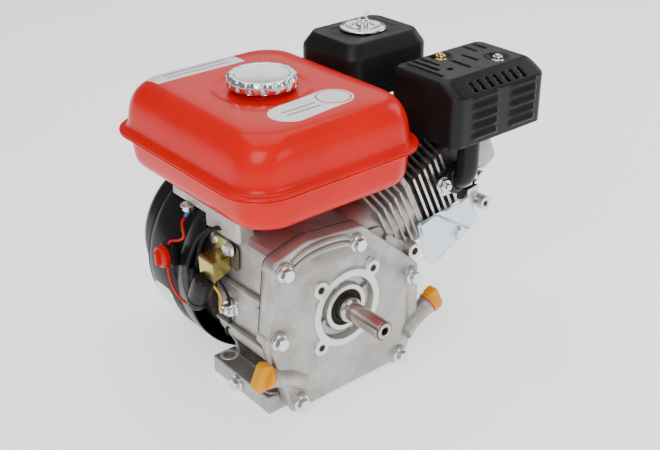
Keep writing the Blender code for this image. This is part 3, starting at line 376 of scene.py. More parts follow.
class Finish:
    def __init__(self, name, colour, roughness, metallic=0.0, **fixed):
        self.material = bpy.data.materials.new(name)
        self.material.use_nodes = True
        self.tree = self.material.node_tree
        self.shader = self.tree.nodes["Principled BSDF"]
        values = {"Base Color": (*colour, 1), "Roughness": roughness, "Metallic": metallic, **fixed}
        for socket, value in values.items():
            self.shader.inputs[socket].default_value = value
        self.material.diffuse_color = (*colour, 1)
        self.where = self.node("ShaderNodeTexCoord", {}, {}, "Object")

    def node(self, kind, settings, values, output=0):
        made = self.tree.nodes.new(kind)
        for setting, value in settings.items():
            setattr(made, setting, value)
        for socket, value in values.items():
            if isinstance(value, Wire):
                self.tree.links.new(value.socket, made.inputs[socket])
            elif value is not None:
                made.inputs[socket].default_value = value
        return Wire(self, made.outputs[output])

    def maths(self, operation, first, second=None):
        return self.node("ShaderNodeMath", {"operation": operation}, {0: first, 1: second})

    def stretched(self, x, y, z):
        return self.node("ShaderNodeVectorMath", {"operation": "MULTIPLY"}, {0: self.where, 1: (x, y, z)})

    def noise(self, scale, detail=3.0, where=None, roughness=0.55):
        return self.node("ShaderNodeTexNoise", {}, {"Vector": where or self.where, "Scale": scale,
                                                    "Detail": detail, "Roughness": roughness}, "Fac")

    def cells(self, scale, feature="F1", where=None):
        return self.node("ShaderNodeTexVoronoi", {"feature": feature},
                         {"Vector": where or self.where, "Scale": scale}, "Distance")

    def mixed(self, mask, first, second):
        made = self.tree.nodes.new("ShaderNodeMix")
        made.data_type = "RGBA"
        for socket, value in ((0, mask), (6, first), (7, second)):
            if isinstance(value, Wire):
                self.tree.links.new(value.socket, made.inputs[socket])
            else:
                made.inputs[socket].default_value = value if socket == 0 else (*value, 1)
        return Wire(self, made.outputs[2])

    def along(self, direction, start=(0.0, 0.0, 0.0)):  # metres along a direction from a starting point
        offset = self.node("ShaderNodeVectorMath", {"operation": "SUBTRACT"},
                {0: self.where, 1: tuple(start)})
        return self.node("ShaderNodeVectorMath", {"operation": "DOT_PRODUCT"},
                         {0: offset, 1: tuple(direction)}, "Value")

    def colour(self, wire):
        self.tree.links.new(wire.socket, self.shader.inputs["Base Color"])

    def rough(self, wire):
        self.tree.links.new(wire.socket, self.shader.inputs["Roughness"])

    def metal(self, wire):
        self.tree.links.new(wire.socket, self.shader.inputs["Metallic"])

    def bump(self, height, distance, strength=1.0):
        made = self.node("ShaderNodeBump", {}, {"Height": height, "Distance": distance,
                "Strength": strength},
                         "Normal")
        self.tree.links.new(made.socket, self.shader.inputs["Normal"])


# sand-cast metal: pitted grain over slow blotches, with a soft dark bloom where the blotches are low
def castMetal(name, dark, light, metallic=0.72):
    made = Finish(name, light, 0.46, metallic)
    blotch = made.noise(34, 5).between(0.34, 0.66)
    stain = made.noise(140, 6, roughness=0.7).between(0.42, 0.74)
    made.colour(made.mixed(stain * 0.3, made.mixed(blotch, dark, light), tuple(c * 0.72 for c in dark)))
    made.rough(blotch * -0.08 + stain * 0.14 + 0.44)
    grain = made.noise(1500, 3) * 0.65 + made.noise(420, 3) * 0.9
    made.bump(grain, 0.00022, 0.55)
    return made.material


# a lathe's face: fine rings round the crank's axis
def turnedMetal(name, colour, rings=5200.0, metallic=0.85, roughness=0.26):
    made = Finish(name, colour, roughness, metallic)
    axis = tuple(joints["crankshaft_spin"]["pos_m"])
    x, z = made.along((1, 0, 0), axis), made.along((0, 0, 1), axis)
    ring = made.maths("SINE", (x * x + z * z) ** 0.5 * rings)
    cloud = made.noise(300, 4)
    made.colour(made.mixed(cloud.between(0.35, 0.7), tuple(c * 0.86 for c in colour), colour))
    made.rough(cloud * 0.16 + (roughness - 0.08))
    made.bump(ring * 0.5 + cloud * 0.4, 0.00002, 0.6)
    return made.material


# ground bar: fine bands across the shaft, browned here and there
def groundSteel(name, colour):
    made = Finish(name, colour, 0.24, 0.95)
    bands = made.noise(60, 5, made.stretched(0.15, 30, 0.15), 0.7)
    tint = made.noise(55, 3).between(0.4, 0.72)
    made.colour(made.mixed(tint * 0.55, colour, (0.34, 0.25, 0.20)))
    made.rough(bands * 0.22 + 0.12)
    made.bump(bands, 0.00004, 0.5)
    return made.material


# plated steel: large soft spangles of tone with faint rubbed marks
def platedSteel(name, colour, tint, roughness=0.24):
    made = Finish(name, colour, roughness, 1.0)
    cloud = made.noise(90, 4).between(0.35, 0.68)
    rub = made.noise(700, 2, made.stretched(1, 1, 0.2))
    made.colour(made.mixed(cloud * 0.6, colour, tint))
    made.rough(rub * 0.18 + cloud * 0.08 + (roughness - 0.09))
    made.bump(rub, 0.00003, 0.5)
    return made.material


# sprayed gloss: orange peel a few millimetres across under a clear coat, with a slow drift of shade
def glossPaint(name, colour, deep, peel=0.00006, roughness=0.32):
    made = Finish(name, colour, roughness, 0.0, **{"Coat Weight": 0.16, "Coat Roughness": 0.03,
            "Specular IOR Level": 0.12})
    drift = made.noise(14, 3).between(0.3, 0.7)
    made.colour(made.mixed(drift, colour, deep))
    made.rough(made.noise(500, 2) * 0.12 + (roughness - 0.06))
    made.bump(made.noise(170, 2) + made.noise(60, 1) * 0.6, peel, 0.5)
    return made.material


# baked satin: fine even stipple, dust-grey where it catches
def satinPaint(name, colour, roughness=0.4, stipple=1100):
    made = Finish(name, colour, roughness, **{"Specular IOR Level": 0.2})
    dust = made.noise(45, 5).between(0.48, 0.8)
    grain = made.noise(stipple, 2)
    made.colour(made.mixed(dust * 0.35, colour, tuple(c * 1.8 + 0.004 for c in colour)))
    made.rough(grain * 0.14 + dust * 0.1 + (roughness - 0.09))
    made.bump(grain + made.noise(260, 2) * 0.5, 0.00009, 0.55)
    return made.material


# moulded plastic: small rounded pebbles from cell distances
def mouldedPlastic(name, colour, roughness=0.5, pebble=1500, relief=0.00006):
    made = Finish(name, colour, roughness, **{"Specular IOR Level": 0.22})
    pebbles = made.cells(pebble, "SMOOTH_F1")
    cloud = made.noise(60, 4).between(0.35, 0.7)
    made.colour(made.mixed(cloud * 0.5, colour, tuple(c * 0.78 for c in colour)))
    made.rough(pebbles * 0.2 + cloud * 0.06 + (roughness - 0.08))
    made.bump(pebbles, relief, 0.6)
    return made.material


# finned casting: dark scale, and bare bright metal where the saw and linisher took the fins' outer edge
def finCasting(name):
    made = Finish(name, (0.05, 0.045, 0.042), 0.5, 0.55)
    start = tuple(cylinder[1] * 0.001 + engineOrigin)
    reach = made.maths("ABSOLUTE", made.along(tuple(boreSide), start)) - 0.034
    width = made.maths("ABSOLUTE", made.along((0, 1, 0), start)) - 0.0255
    outward = (made.maths("MAXIMUM", reach, 0.0) ** 2 + made.maths("MAXIMUM", width, 0.0) ** 2) ** 0.5
    scratch = made.noise(900, 4)
    bare = (outward + scratch * 0.0006).between(0.01535, 0.0157)
    scale = made.noise(120, 5).between(0.35, 0.7)
    made.colour(made.mixed(bare, made.mixed(scale, (0.035, 0.03, 0.028), (0.11, 0.095, 0.088)),
            (0.72, 0.69, 0.66)))
    made.metal(bare * 0.4 + 0.55)
    made.rough(0.55 - bare * 0.25 + scratch * 0.08)
    made.bump(scratch + made.noise(300, 3), 0.00015, 0.6)
    return made.material


# braided cord: two crossing helices of light strands, as waves along and round it; the low places between the
# strands are painted darker, as painted shade
def braid(name, colour):
    made = Finish(name, colour, 0.75)
    x, y, z = (made.along(axis) for axis in ((1, 0, 0), (0, 1, 0), (0, 0, 1)))
    weave = made.maths("SINE", (x + y * 0.6) * 4200) * made.maths("SINE", (x - z * 0.6) * 4200)
    # darker where the weave is low: painted shade between the strands
    made.colour(made.mixed(weave.between(-1, 1), tuple(c * 0.55 for c in colour), colour))
    made.bump(weave, 0.0002, 0.7)
    return made.material


# open foam: round pores as cells, painted darker towards each pore's middle as painted shade in the pores
def foam(name, colour):
    made = Finish(name, colour, 0.85)
    pores = made.cells(650)
    # the pore middles are darkened: painted shade in the pores
    made.colour(made.mixed(pores.between(0.1, 0.6), tuple(c * 0.35 for c in colour), colour))
    made.bump(pores, 0.0006, 0.8)
    return made.material


# printed vinyl: near-white with the faintest mottling
def vinyl(name, colour):
    made = Finish(name, colour, 0.35, 0.0, **{"Coat Weight": 0.35, "Coat Roughness": 0.1})
    mottle = made.noise(220, 3)
    made.colour(made.mixed(mottle.between(0.4, 0.7) * 0.3, colour, tuple(c * 0.9 for c in colour)))
    made.rough(mottle * 0.1 + 0.3)
    made.bump(mottle, 0.00001, 0.4)
    return made.material


# material slot, maker and its values
recipes = {
    "castAluminium": ("cast_aluminium", castMetal, (0.37, 0.35, 0.33), (0.50, 0.48, 0.455)),
    "machinedFace": ("cast_aluminium", turnedMetal, (0.86, 0.86, 0.85), 5200.0, 0.5, 0.36),
    "turnedRecess": ("cast_aluminium", turnedMetal, (0.42, 0.41, 0.40), 2600.0, 0.9, 0.3),
    "groundShaft": ("machined_steel", groundSteel, (0.50, 0.44, 0.40)),
    "darkSteel": ("machined_steel", platedSteel, (0.10, 0.095, 0.09), (0.22, 0.2, 0.18), 0.4),
    "zinc": ("zinc_plate", platedSteel, (0.80, 0.81, 0.82), (0.64, 0.66, 0.69)),
    "blueZinc": ("zinc_plate", platedSteel, (0.70, 0.80, 0.86), (0.52, 0.66, 0.76), 0.3),
    "yellowZinc": ("yellow_zinc", platedSteel, (0.52, 0.42, 0.13), (0.36, 0.38, 0.15), 0.28),
    "brass": ("yellow_zinc", platedSteel, (0.85, 0.62, 0.20), (0.70, 0.45, 0.12), 0.25),
    "chrome": ("chrome", platedSteel, (0.86, 0.86, 0.87), (0.80, 0.81, 0.83), 0.13),
    "redPaint": ("red_paint", glossPaint, (0.72, 0.0, 0.0), (0.62, 0.0, 0.0)),
    "blackGloss": ("black_paint", glossPaint, (0.008, 0.008, 0.009), (0.012, 0.012, 0.013), 0.00004, 0.3),
    "blackSatin": ("black_paint", satinPaint, (0.008, 0.008, 0.0085), 0.36),
    "blackPlastic": ("black_plastic", mouldedPlastic, (0.009, 0.009, 0.0095), 0.4),
    "rubber": ("black_rubber", mouldedPlastic, (0.011, 0.011, 0.011), 0.6, 900),
    "yellowPlastic": ("yellow_plastic", mouldedPlastic, (0.78, 0.33, 0.0), 0.42, 700, 0.00004),
    "redPlastic": ("red_plastic", mouldedPlastic, (0.55, 0.002, 0.002), 0.3, 500, 0.00003),
    "pinkSeal": ("red_plastic", mouldedPlastic, (0.75, 0.03, 0.08), 0.45),
    "redLead": ("red_plastic", mouldedPlastic, (0.6, 0.003, 0.003), 0.35, 300, 0.00003),
    "blueLead": ("black_plastic", mouldedPlastic, (0.02, 0.22, 0.55), 0.35, 300, 0.00003),
    "yellowLead": ("yellow_plastic", mouldedPlastic, (0.90, 0.50, 0.02), 0.35, 300, 0.00003),
    "finCasting": ("dark_casting", finCasting),
    "ironCasting": ("cast_iron", castMetal, (0.07, 0.065, 0.06), (0.15, 0.14, 0.13)),
    "gasket": ("gasket_fibre", mouldedPlastic, (0.05, 0.05, 0.048), 0.8, 2200),
    "cord": ("rope_fibre", braid, (0.72, 0.70, 0.64)),
    "foam": ("filter_foam", foam, (0.50, 0.44, 0.22)),
    "whiteVinyl": ("red_paint", vinyl, (0.88, 0.88, 0.87)),
    "greyInk": ("red_paint", vinyl, (0.30, 0.30, 0.31)),
    "redInk": ("red_paint", vinyl, (0.70, 0.06, 0.03)),
}
finishes = {name: make(name, *values) for name, (slot, make, *values) in recipes.items()}
print("finishes made:", len(finishes))


# fuel tank: every layer is a rounded rectangle, set in from the seam
seamNearCorner, (seamRight, seamFar, seamZ) = millimetres("fuel_tank_lower")
seamLeft, seamNear = seamNearCorner[:2]
capCentre = (np.array(joints["fuel_cap_twist"]["pos_m"]) - engineOrigin)[:2] * 1000
tank = {"cornerSteps": 14, "sideSteps": 9, "neckRadius": 25.8, "shoulder": 2.2, "dishRadius": 47,
        "dishEase": 6,
        "dishDepth": 2.0, "top": 50}


# a rounded rectangle with points along its sides as well as its corners
def longLoop(left, right, near, far, radius):
    corners = roundLoop(box(left, right, near, far), radius, tank["cornerSteps"]).reshape(4, -1, 2)
    t = (np.arange(1, tank["sideSteps"]) / tank["sideSteps"])[None, :, None]
    sides = corners[:, -1:] * (1 - t) + np.roll(corners, -1, 0)[:, :1] * t
    return np.concatenate([corners, sides], 1).reshape(-1, 2)


upperLayers = np.array([  # insets from the seam on each side, corner radius, height above the seam
    (1.6, 1.6, 1.6, 1.6, 38, 0.3), (0.4, 0.4, 0.4, 0.4, 40, 0.5), (0, 0, 0, 0, 40, 1.2), (0.3, 0.3, 0.3,
            0.3, 40, 2.1),
    (1.2, 1.2, 1.1, 1.1, 39, 2.7), (4, 4, 3.5, 4, 37, 3.0), (6.5, 6, 5.6, 6, 35, 3.8), (8.2, 7.3, 7.0, 7.3,
            34, 5.6),
    (9.0, 8.2, 8.0, 8.2, 34, 9), (9.6, 8.7, 8.5, 8.7, 34, 15), (10.6, 9.4, 9.2, 9.3, 34, 22), (12.2, 11.0,
            10.4, 10.6, 34, 29),
    (14.2, 12.8, 12.0, 12.2, 34, 34.5), (17.0, 15.2, 14.4, 14.8, 33.5, 39.5), (20.5, 18.2, 17.6, 18.0, 33,
            43.5),
    (24.5, 22.0, 21.4, 22.0, 32, 46.4), (29.5, 27, 26.4, 27, 31, 48.4), (35, 33, 32, 33, 30, 49.4),
    (42, 40, 39, 40, 28, 50.0)])
lowerLayers = np.array([
    (50, 52, 48, 50, 20, -39.6), (34, 34, 30, 32, 26, -39.5), (26, 26, 22, 24, 29, -38.9), (20, 20, 16, 18,
            31, -37.3), (15.5, 15.2, 12, 14, 33, -34.6),
    (13.2, 12.4, 9.4, 11, 34, -31), (12.0, 11.2, 8.2, 9.6, 34, -25), (11.4, 10.6, 7.7, 9.0, 34, -16),
    (10.8, 9.9, 7.3, 8.4, 34, -8), (10.2, 9.4, 7.0, 8.0, 34, -4.2), (9, 8.2, 6, 7, 35, -2.9), (6, 5.4, 4.4,
            5, 36, -2.3),
    (2.2, 2.2, 2.0, 2.0, 38, -2.1), (0.8, 0.8, 0.8, 0.8, 39, -1.7), (0.2, 0.2, 0.2, 0.2, 40, -0.9), (0.9,
            0.9, 0.9, 0.9, 39, 0.0)])


def tankRows(layers):
    return [level(longLoop(seamLeft + a, seamRight - b, seamNear + c, seamFar - d, r), seamZ + z)
            for a, b, c, d, r, z in layers]


# the shallow dish round the cap has its full depth inside, and eases out across its rim
def dishAt(radius):
    return tank["dishDepth"] * softStep((tank["dishRadius"] - radius) / tank["dishEase"] + 0.5)


# inside the last layer the rows close in on the neck: each point slides straight towards the cap's centre
def tankTop(rows):
    last = rows[-1]
    outward = last[:, :2] - capCentre
    reach = np.linalg.norm(outward, axis=1, keepdims=True)
    innermost = tank["neckRadius"] + tank["shoulder"]
    inner = []
    for share in 1 - np.linspace(0, 1, 17)[1:] ** 0.9:
        radius = innermost + (reach - innermost) * share
        inner.append(np.concatenate([capCentre + outward / reach * radius, last[:, 2:] - dishAt(radius)],
                1))
    direction = outward / reach
    neck = [(2.2, -0.1), (0.9, 0.35), (0.3, 1.2), (0, 2.6), (0, 6.6), (-0.5, 7.1), (-3.2, 7.1), (-3.7, 6.5),
            (-3.8, -12), (-22, -12.2)]
    base = seamZ + tank["top"] - 0.9
    inner += [np.concatenate([capCentre + direction * (tank["neckRadius"] + out),
            np.full((len(last), 1), base + up)], 1)
              for out, up in neck]
    return rows + inner


upperRows = tankTop(tankRows(upperLayers))
piece("tankUpper", skin(upperRows), "redPaint", "engine_block", ["fuel_tank_upper"], crease=60)
piece("tankLower", skin(tankRows(lowerLayers)), "redPaint", "engine_block", ["fuel_tank_lower"], crease=60)


# height of the tank's top over any point: the layer whose rounded rectangle passes through it
def tankHeight(points):
    fine = np.linspace(4, len(upperLayers) - 1, 500)
    a, b, c, d, r, z = (np.interp(fine, np.arange(len(upperLayers)), upperLayers[:, k]) for k in range(6))
    left, right, near, far = seamLeft + a, seamRight - b, seamNear + c, seamFar - d
    x = np.abs(points[:, :1] - (left + right) / 2) - ((right - left) / 2 - r)
    y = np.abs(points[:, 1:2] - (near + far) / 2) - ((far - near) / 2 - r)
    gapTo = np.hypot(np.maximum(x, 0), np.maximum(y, 0)) + np.minimum(np.maximum(x, y), 0) - r
    order = (gapTo > 0).argmax(1)
    height = seamZ + np.where((gapTo > 0).any(1), z[order], z[-1])
    radius = np.hypot(points[:, 0] - capCentre[0], points[:, 1] - capCentre[1])
    return height - dishAt(radius)


# a sticker is a flat outline filled by rings that shrink to its middle, laid on the tank and lifted a little
def sticker(name, loop, finish, lift, rings=10):
    middle = loop.mean(0)
    share = np.linspace(1, 0.02, rings)[:, None, None]
    flat = (middle + (loop - middle)[None] * share).reshape(-1, 2)
    height = tankHeight(flat)
    upper = np.concatenate([flat, (height + lift)[:, None]], 1).reshape(rings, len(loop), 3)
    lower = np.concatenate([flat, (height - 0.25)[:, None]], 1).reshape(rings, len(loop), 3)[:1]
    return piece(name, skin(np.concatenate([lower, upper])), finish, "engine_block",
                 crease=60)


# a stadium: two half circles joined by straight sides, with points all along it
def stadium(first, second, radius, steps=40):
    first, second = np.array(first, float), np.array(second, float)
    forward = unit(second - first)
    side = np.array([-forward[1], forward[0]])
    t = np.linspace(-math.pi / 2, math.pi / 2, steps)[:, None]
    ahead = second + radius * (np.cos(t) * forward + np.sin(t) * side)
    behind = first - radius * (np.cos(t) * forward + np.sin(t) * side)
    share = (np.arange(1, 24) / 24)[:, None]
    return np.concatenate([ahead, ahead[-1:] * (1 - share) + behind[:1] * share, behind,
                           behind[-1:] * (1 - share) + ahead[:1] * share])


labels = {"stadium": ((-28, 48.6), (29, 55), 19.5), "badgeRadius": 15.5, "plate": (-76, 26, 192, 222),
          "lift": {"label": 0.22, "print": 0.34, "face": 0.46}}
lift = labels["lift"]
first, second, radius = labels["stadium"]
left, right, near, far = labels["plate"]
sticker("frontLabel", stadium(first, second, radius), "whiteVinyl", lift["label"])
for k in (0, 1):
    printed = stadium((first[0] - 4, 45 + 8 * k), (second[0] - 24, 46.2 + 8 * k), 1.5)
    sticker(f"frontLabelLine{k}", printed, "greyInk", lift["print"])
badge = circle(64)
sticker("badgeRing", np.array(second) + badge * (labels["badgeRadius"] + 2), "redInk", lift["print"])
sticker("badgeFace", np.array(second) + badge * labels["badgeRadius"], "whiteVinyl", lift["face"])
sticker("backLabel", longLoop(left, right, near, far, 2.0), "whiteVinyl", lift["label"])
for k in (0, 1):
    row = near + 8 + 9 * k
    sticker(f"backLabelLine{k}", stadium((left + 16, row), (right - 14, row), 1.3), "greyInk",
            lift["print"])


# fuel cap: a pressed cap whose rim is pulled in where each flute passes
cap = {"flutes": 16, "depth": 2.3}


def fuelCap():
    angle = np.arange(336) / 336 * fullTurn
    bite = (0.5 - 0.5 * np.cos(angle * cap["flutes"])) ** 3
    profile = eased([(2, 9.4), (31.5, 9.4), (31.5, 3.0), (33.6, 3.0), (34.7, 4.2), (34.9, 9.5),
                     (33.6, 12.8),
                     (31.6, 14.0), (27.5, 14.0), (26.5, 13.4), (2, 13.2)], 0.7)
    pull = cap["depth"] * np.clip((profile[:, :1] - 29) / 5, 0, 1) * np.clip((profile[:, 1:] - 2.0) / 4,
            0.15, 1)
    outside = np.arange(len(profile))[:, None] > 12
    radius = profile[:, :1] - np.where(outside, pull, 0) * bite
    rows = np.stack([radius * np.cos(angle), radius * np.sin(angle),
                     np.broadcast_to(profile[:, 1:], radius.shape)], -1)
    return skin(rows, pose((*capCentre, seamZ + tank["top"])))


piece("fuelCap", fuelCap(), "chrome", "tank_cap", ["fuel_cap"], crease=50)
print("tank, labels and cap made")


# crankcase cover
coverCorners = [(-62, 5), (88, 4), (105, 50), (105, 112), (28, 183), (-40, 190), (-80, 179), (-89, 98)]
coverRadii = np.array([10, 12, 25, 12, 12, 25, 12, 14])
boltPlaces = [(17, 169), (-70, 168.5), (-79, 98), (-55, 16), (77, 13), (92, 104)]
cover = {"back": millimetres("crankcase_cover")[1][1], "holeCircle": 46.04, "earRadius": 8.5,
         "ringRadius": 41.0,
         "bossRadius": 9.5, "steps": 420}
earPlaces = [(cover["holeCircle"] * math.cos(angle), shaftHeight + cover["holeCircle"] * math.sin(angle))
             for angle in (math.radians(45 + 90 * k) for k in range(4))]
neckFrames = {side: pose((x, 14, z), (sign, 0, 0.45), (0, 0, 1)) for side, x, z, sign in
              (("left", -79, 54, -1), ("right", 116, 50, 1))}


# distance from the centre of the flange: a circle softly joined to four ears by log of a sum of powers
def flower(angle, grow=0.0):
    away = (angle % (math.pi / 2)) - math.pi / 4
    across = np.abs(cover["holeCircle"] * np.sin(away))
    ear = cover["earRadius"] + grow
    depth = np.sqrt(np.maximum(ear ** 2 - across ** 2, 0)) - 8.0 * np.maximum(across - ear, 0)
    reach = cover["holeCircle"] * np.cos(away) + depth
    sharp = 0.9
    ring = cover["ringRadius"] + grow
    return ring + np.log(1 + np.exp(np.clip(sharp * (reach - ring), -40, 40))) / sharp


def coverSkin():
    steps = cover["steps"]
    outline = [(0.9, 0.0, cover["back"]), (0.0, 0.0, 25.2), (0, 0, 18), (0, 0, 12.2), (0.35, 0, 10.9),
               (1.2, 0, 10.15),
               (2.4, 0, 10), (9, 0, 10), (12, 2, 9.9), (14.0, 4, 9.4), (16.5, 6, 8.2), (19.5, 8,
                       6.3), (22.5, 10, 4.7),
               (25.5, 12, 3.6), (28.5, 13, 3.1), (32, 14, 3.0)]
    rows = [np.stack([loop[:, 0], loop[:, 1], np.full(len(loop), y)], 1) for loop, y in
            ((evenly(roundLoop(insetCorners(coverCorners, d), np.maximum(coverRadii - d * 0.4, 8) + extra,
                    10), steps), y)
             for d, extra, y in outline)]
    last = rows[-1][:, :2] - (0, shaftHeight)
    angle = np.arctan2(last[:, 1], last[:, 0])
    direction = np.stack([np.cos(angle), np.sin(angle)], 1)
    reach = np.linalg.norm(last, axis=1)

    def ring(radius, y):
        spot = direction * np.broadcast_to(radius, len(angle))[:, None] + (0, shaftHeight)
        return np.concatenate([spot, np.full((len(angle), 1), y)], 1)

    for share in (0.25, 0.5, 0.75, 0.92):
        rows.append(ring(reach * (1 - share) + (flower(angle, 3.5)) * share, 3.0))
    rows += [ring(flower(angle, grow), y) for grow, y in
             ((3.0, 2.9), (1.6, 2.3), (0.7, 1.4), (0.35, 0.5), (0.0, 0.12), (-0.4, 0.0))]
    rows += [ring(radius, y) for radius, y in
             ((34.0, 0.0), (33.3, 0.25), (33.0, 0.8), (32.6, 8.2), (32.0, 8.8), (31.2, 9.0), (26.0, 9.0),
              (25.0, 8.7), (24.5, 7.8), (24.2, 2.8), (23.9, 2.2), (23.3, 2.0), (19.9, 2.0), (19.3,
                      2.3), (19.2, 3.2),
              (19.2, 12), (15, 12.4), (15, 25.9))]
    grid = np.stack(rows)[:, :, [0, 2, 1]]
    return skin(grid[:, ::-1], tube=True)


def coverBoss(x, z):
    radius = cover["bossRadius"]
    profile = [(radius + 2.6, -0.3), (radius + 0.4, 1.0), (radius, 4.0), (radius - 0.9, 4.6), (1, 4.6)]
    return lathe(profile, 0.9, front(10.4, x, z), 40)


# ribs, pads and necks of the cover, each a small solid that runs into the skin
def coverDetails():
    shapes = [coverBoss(x, z) for x, z in boltPlaces]
    side = [lathe([(11.2, -15.6), (11.2, -1.5), (9.8, 0), (1, 0)], 1.2, front(11, x, z), 36) for x,
            z in boltPlaces]
    ridge = smoothLine([(-59, 174), (-42, 181), (-20, 182.6), (0, 180), (9, 175.5)], 10)
    taper = np.sin(np.linspace(0.35, math.pi - 0.35, len(ridge))) ** 0.4
    for y, drop, radius in ((8.6, 0, 3.2), (7.4, 6.5, 3.4)):
        line = np.stack([ridge[:, 0], np.full(len(ridge), y), ridge[:, 1] - drop], 1)
        shapes.append(tube(line, radius, 14, radii=radius * taper))
    for neck in neckFrames.values():
        shapes.append(lathe([(13.5, -32), (11.4, -22), (10.0, -12), (9.7, 2), (10.6, 3.2), (10.8, 7.4),
                (10.2, 8.0), (6.2, 8.0), (6.1, -20)], 0.8, neck, 40))
    return joined(*shapes, *side)


piece("coverSkin", coverSkin(), "castAluminium", "engine_block", ["crankcase_cover"], crease=50)
piece("coverDetails", coverDetails(), "castAluminium", "engine_block", crease=50)


# the milled face: a thin leaf over the ring and ears
def milledLeaf():
    angle = np.arange(360) / 360 * fullTurn
    rows = []
    for radius, y in ((flower(angle, -0.35), 0.04), (flower(angle, -0.5), -0.02), (34.2, -0.02),
                      (33.6, 0.04)):
        radius = np.broadcast_to(radius, len(angle))
        rows.append(np.stack([radius * np.cos(angle), radius * np.sin(angle), np.full(len(angle), -y)], 1))
    hub = [np.stack([r * np.cos(angle), r * np.sin(angle), np.full(len(angle), -y)], 1) for r, y in
           ((23.9, 2.06), (23.5, 1.96), (19.9, 1.96), (19.5, 2.06))]
    where = front(0.0, 0.0, shaftHeight)
    return joined(skin(rows, where, tube=True), skin(hub, where, tube=True))


# a threaded hole's mouth: a pale countersink shown as a shallow cup that stands on the face, and inside it a dark
# disc on the face as painted shade for the hole, which is not cut
def countersinksAndHoleShade():
    shapes, cups = [], []
    for x, z in earPlaces:
        shapes.append(turned([(3.4, 0.02), (3.4, 0.07), (0.3, 0.07)], front(0.0, x, z), 24))
        cups.append(lathe([(3.3, 0.0), (4.6, 0.0), (4.6, 0.06), (4.3, 0.10), (3.5, 0.09), (3.3, 0.02)],
                0.05, front(0.0, x, z), 32, tube=True))
    return joined(*shapes), joined(*cups)


holeShadeDiscs, holeRim = countersinksAndHoleShade()
piece("milledLeaf", milledLeaf(), "machinedFace", "engine_block", crease=60)
# a dark disc on each ear: painted shade for its threaded hole
piece("earHoleShade", holeShadeDiscs, "rubber", "engine_block")
piece("earRims", holeRim, "turnedRecess", "engine_block")
recess = turned([(33.05, 0.6), (32.65, 8.1), (31.9, 8.75), (26.0, 8.9), (24.9, 8.6), (24.3, 7.6),
                 (24.15, 2.7),
                 (24.1, 2.7), (24.1, 8.9), (26, 9.1), (32, 9.1), (33.4, 8)][::-1], crankAxis, 96, tube=True)
piece("recessLining", recess, "turnedRecess", "engine_block", crease=50)
webs = []
for angle in (math.radians(20 + 90 * k) for k in range(4)):
    outward = np.array([math.cos(angle), 0, math.sin(angle)])
    middle = pose(28.5 * outward + (0, 0, shaftHeight), (0, -1, 0), outward)
    webs.append(slab(box(-4.6, 4.6, -2.6, 2.6), 0.6, -9.0, -5.4, 0.8, where=middle))
piece("recessWebs", joined(*webs), "castAluminium", "engine_block")
gasketLine = slab(insetCorners(coverCorners, -0.12), coverRadii, -26.35, -25.95, 0.02, 8, front())
piece("caseGasket", gasketLine, "gasket", "engine_block")
for number, (x, z) in enumerate(boltPlaces, 1):
    piece(f"coverBolt{number}", hexHead(5.8, 7.2, 8.4, front(5.7, x, z)), "zinc", "engine_block",
          [f"cover_bolt_{number}"], crease=30)
print("cover made")

# output shaft and its seal
shaftTip = millimetres("crankshaft")[0][1]
shaft = {"radius": 9.72, "collar": 12.6, "bore": 4.4}
sleeve = turned(eased([(shaft["bore"] + 0.3, shaftTip - 0.02), (shaft["radius"] - 1.6, shaftTip - 0.02),
                       (shaft["radius"], shaftTip + 1.6),
                       (shaft["radius"], -7.5), (11.0, -6.6), (shaft["collar"], -5.6), (shaft["collar"],
                               6.0), (5, 6.0),
                       (5, shaftTip + 5), (shaft["bore"], shaftTip + 4), (shaft["bore"],
                               shaftTip + 0.6)], 0.35)[::-1], crankAxis, 64, tube=True)
piece("shaftSleeve", sleeve, "groundShaft", "crank", crease=35)
# a dark steel plug set just inside the shaft's threaded hole: painted shade for the hole
piece("shaftHoleShade", turned([(4.5, shaftTip + 5.5), (4.5, shaftTip + 0.9), (3.6, shaftTip + 0.5),
        (3.2, shaftTip + 5.2), (0.4, shaftTip + 5.3)][::-1], crankAxis, 6), "darkSteel", "crank")
piece("sealSkin", lathe([(12.9, 8.5), (12.9, 3.4), (13.8, 2.6), (14.6, 3.6), (16.6, 3.9), (17.6, 2.5),
        (18.9, 2.4), (19.1, 3.2), (19.1, 8.5)], 0.5,
                         crankAxis, 64, tube=True), "rubber", "engine_block", ["oil_seal_pto"], crease=40)
print("shaft made")


# oil caps: a round skirt and a thick flat grip
def oilCap(neck):
    skirt = lathe([(6, 8.9), (11.9, 8.9), (11.9, 12.4), (10.9, 13.4), (1, 13.4)], 0.8, neck, 48)
    stick = lathe([(2.1, -30), (2.2, -6.5), (5.3, -6), (5.4, 9.2), (1, 9.4)], 0.5, neck, 20)
    outline = [(-13.8, 11.8), (13.8, 11.8), (14.4, 24.6), (-14.4, 24.6)]
    grip = slab(outline, (2, 2, 5, 5), -5.6, 5.6, 1.6, 8, tipped(neck))
    return joined(skirt, grip, stick)


for side, body in (("left", "oil_cap_left"), ("right", "oil_cap_right")):
    piece(f"{side}OilCap", oilCap(neckFrames[side]), "yellowPlastic", body, [f"oil_filler_cap_{side}"])
    piece(f"{side}OilSeal", lathe([(9.0, 8.0), (11.3, 8.0), (11.5, 8.5), (11.3, 8.9), (9.0, 8.9)], 0.2,
            neckFrames[side], 40), "pinkSeal", body)
print("oil caps made")


# a grid piece whose openings are missing faces, given its wall by a Solidify modifier
def pressed(name, points, faces, gone, thickness, finish, body, nodes=(), crease=45):
    centres = np.array([points[face[:4]].mean(0) for face in faces])
    kept = [face for face, cut in zip(faces, gone(centres)) if not cut]
    used = np.unique(np.concatenate([np.array(face) for face in kept]))
    renumber = np.full(len(points), -1)
    renumber[used] = np.arange(len(used))
    made = piece(name, (points[used], [renumber[face].tolist() for face in kept]), finish, body, nodes,
                 crease=crease)
    wall = made.modifiers.new("wall", "SOLIDIFY")
    wall.thickness, wall.offset = thickness * 0.001, -1
    return made


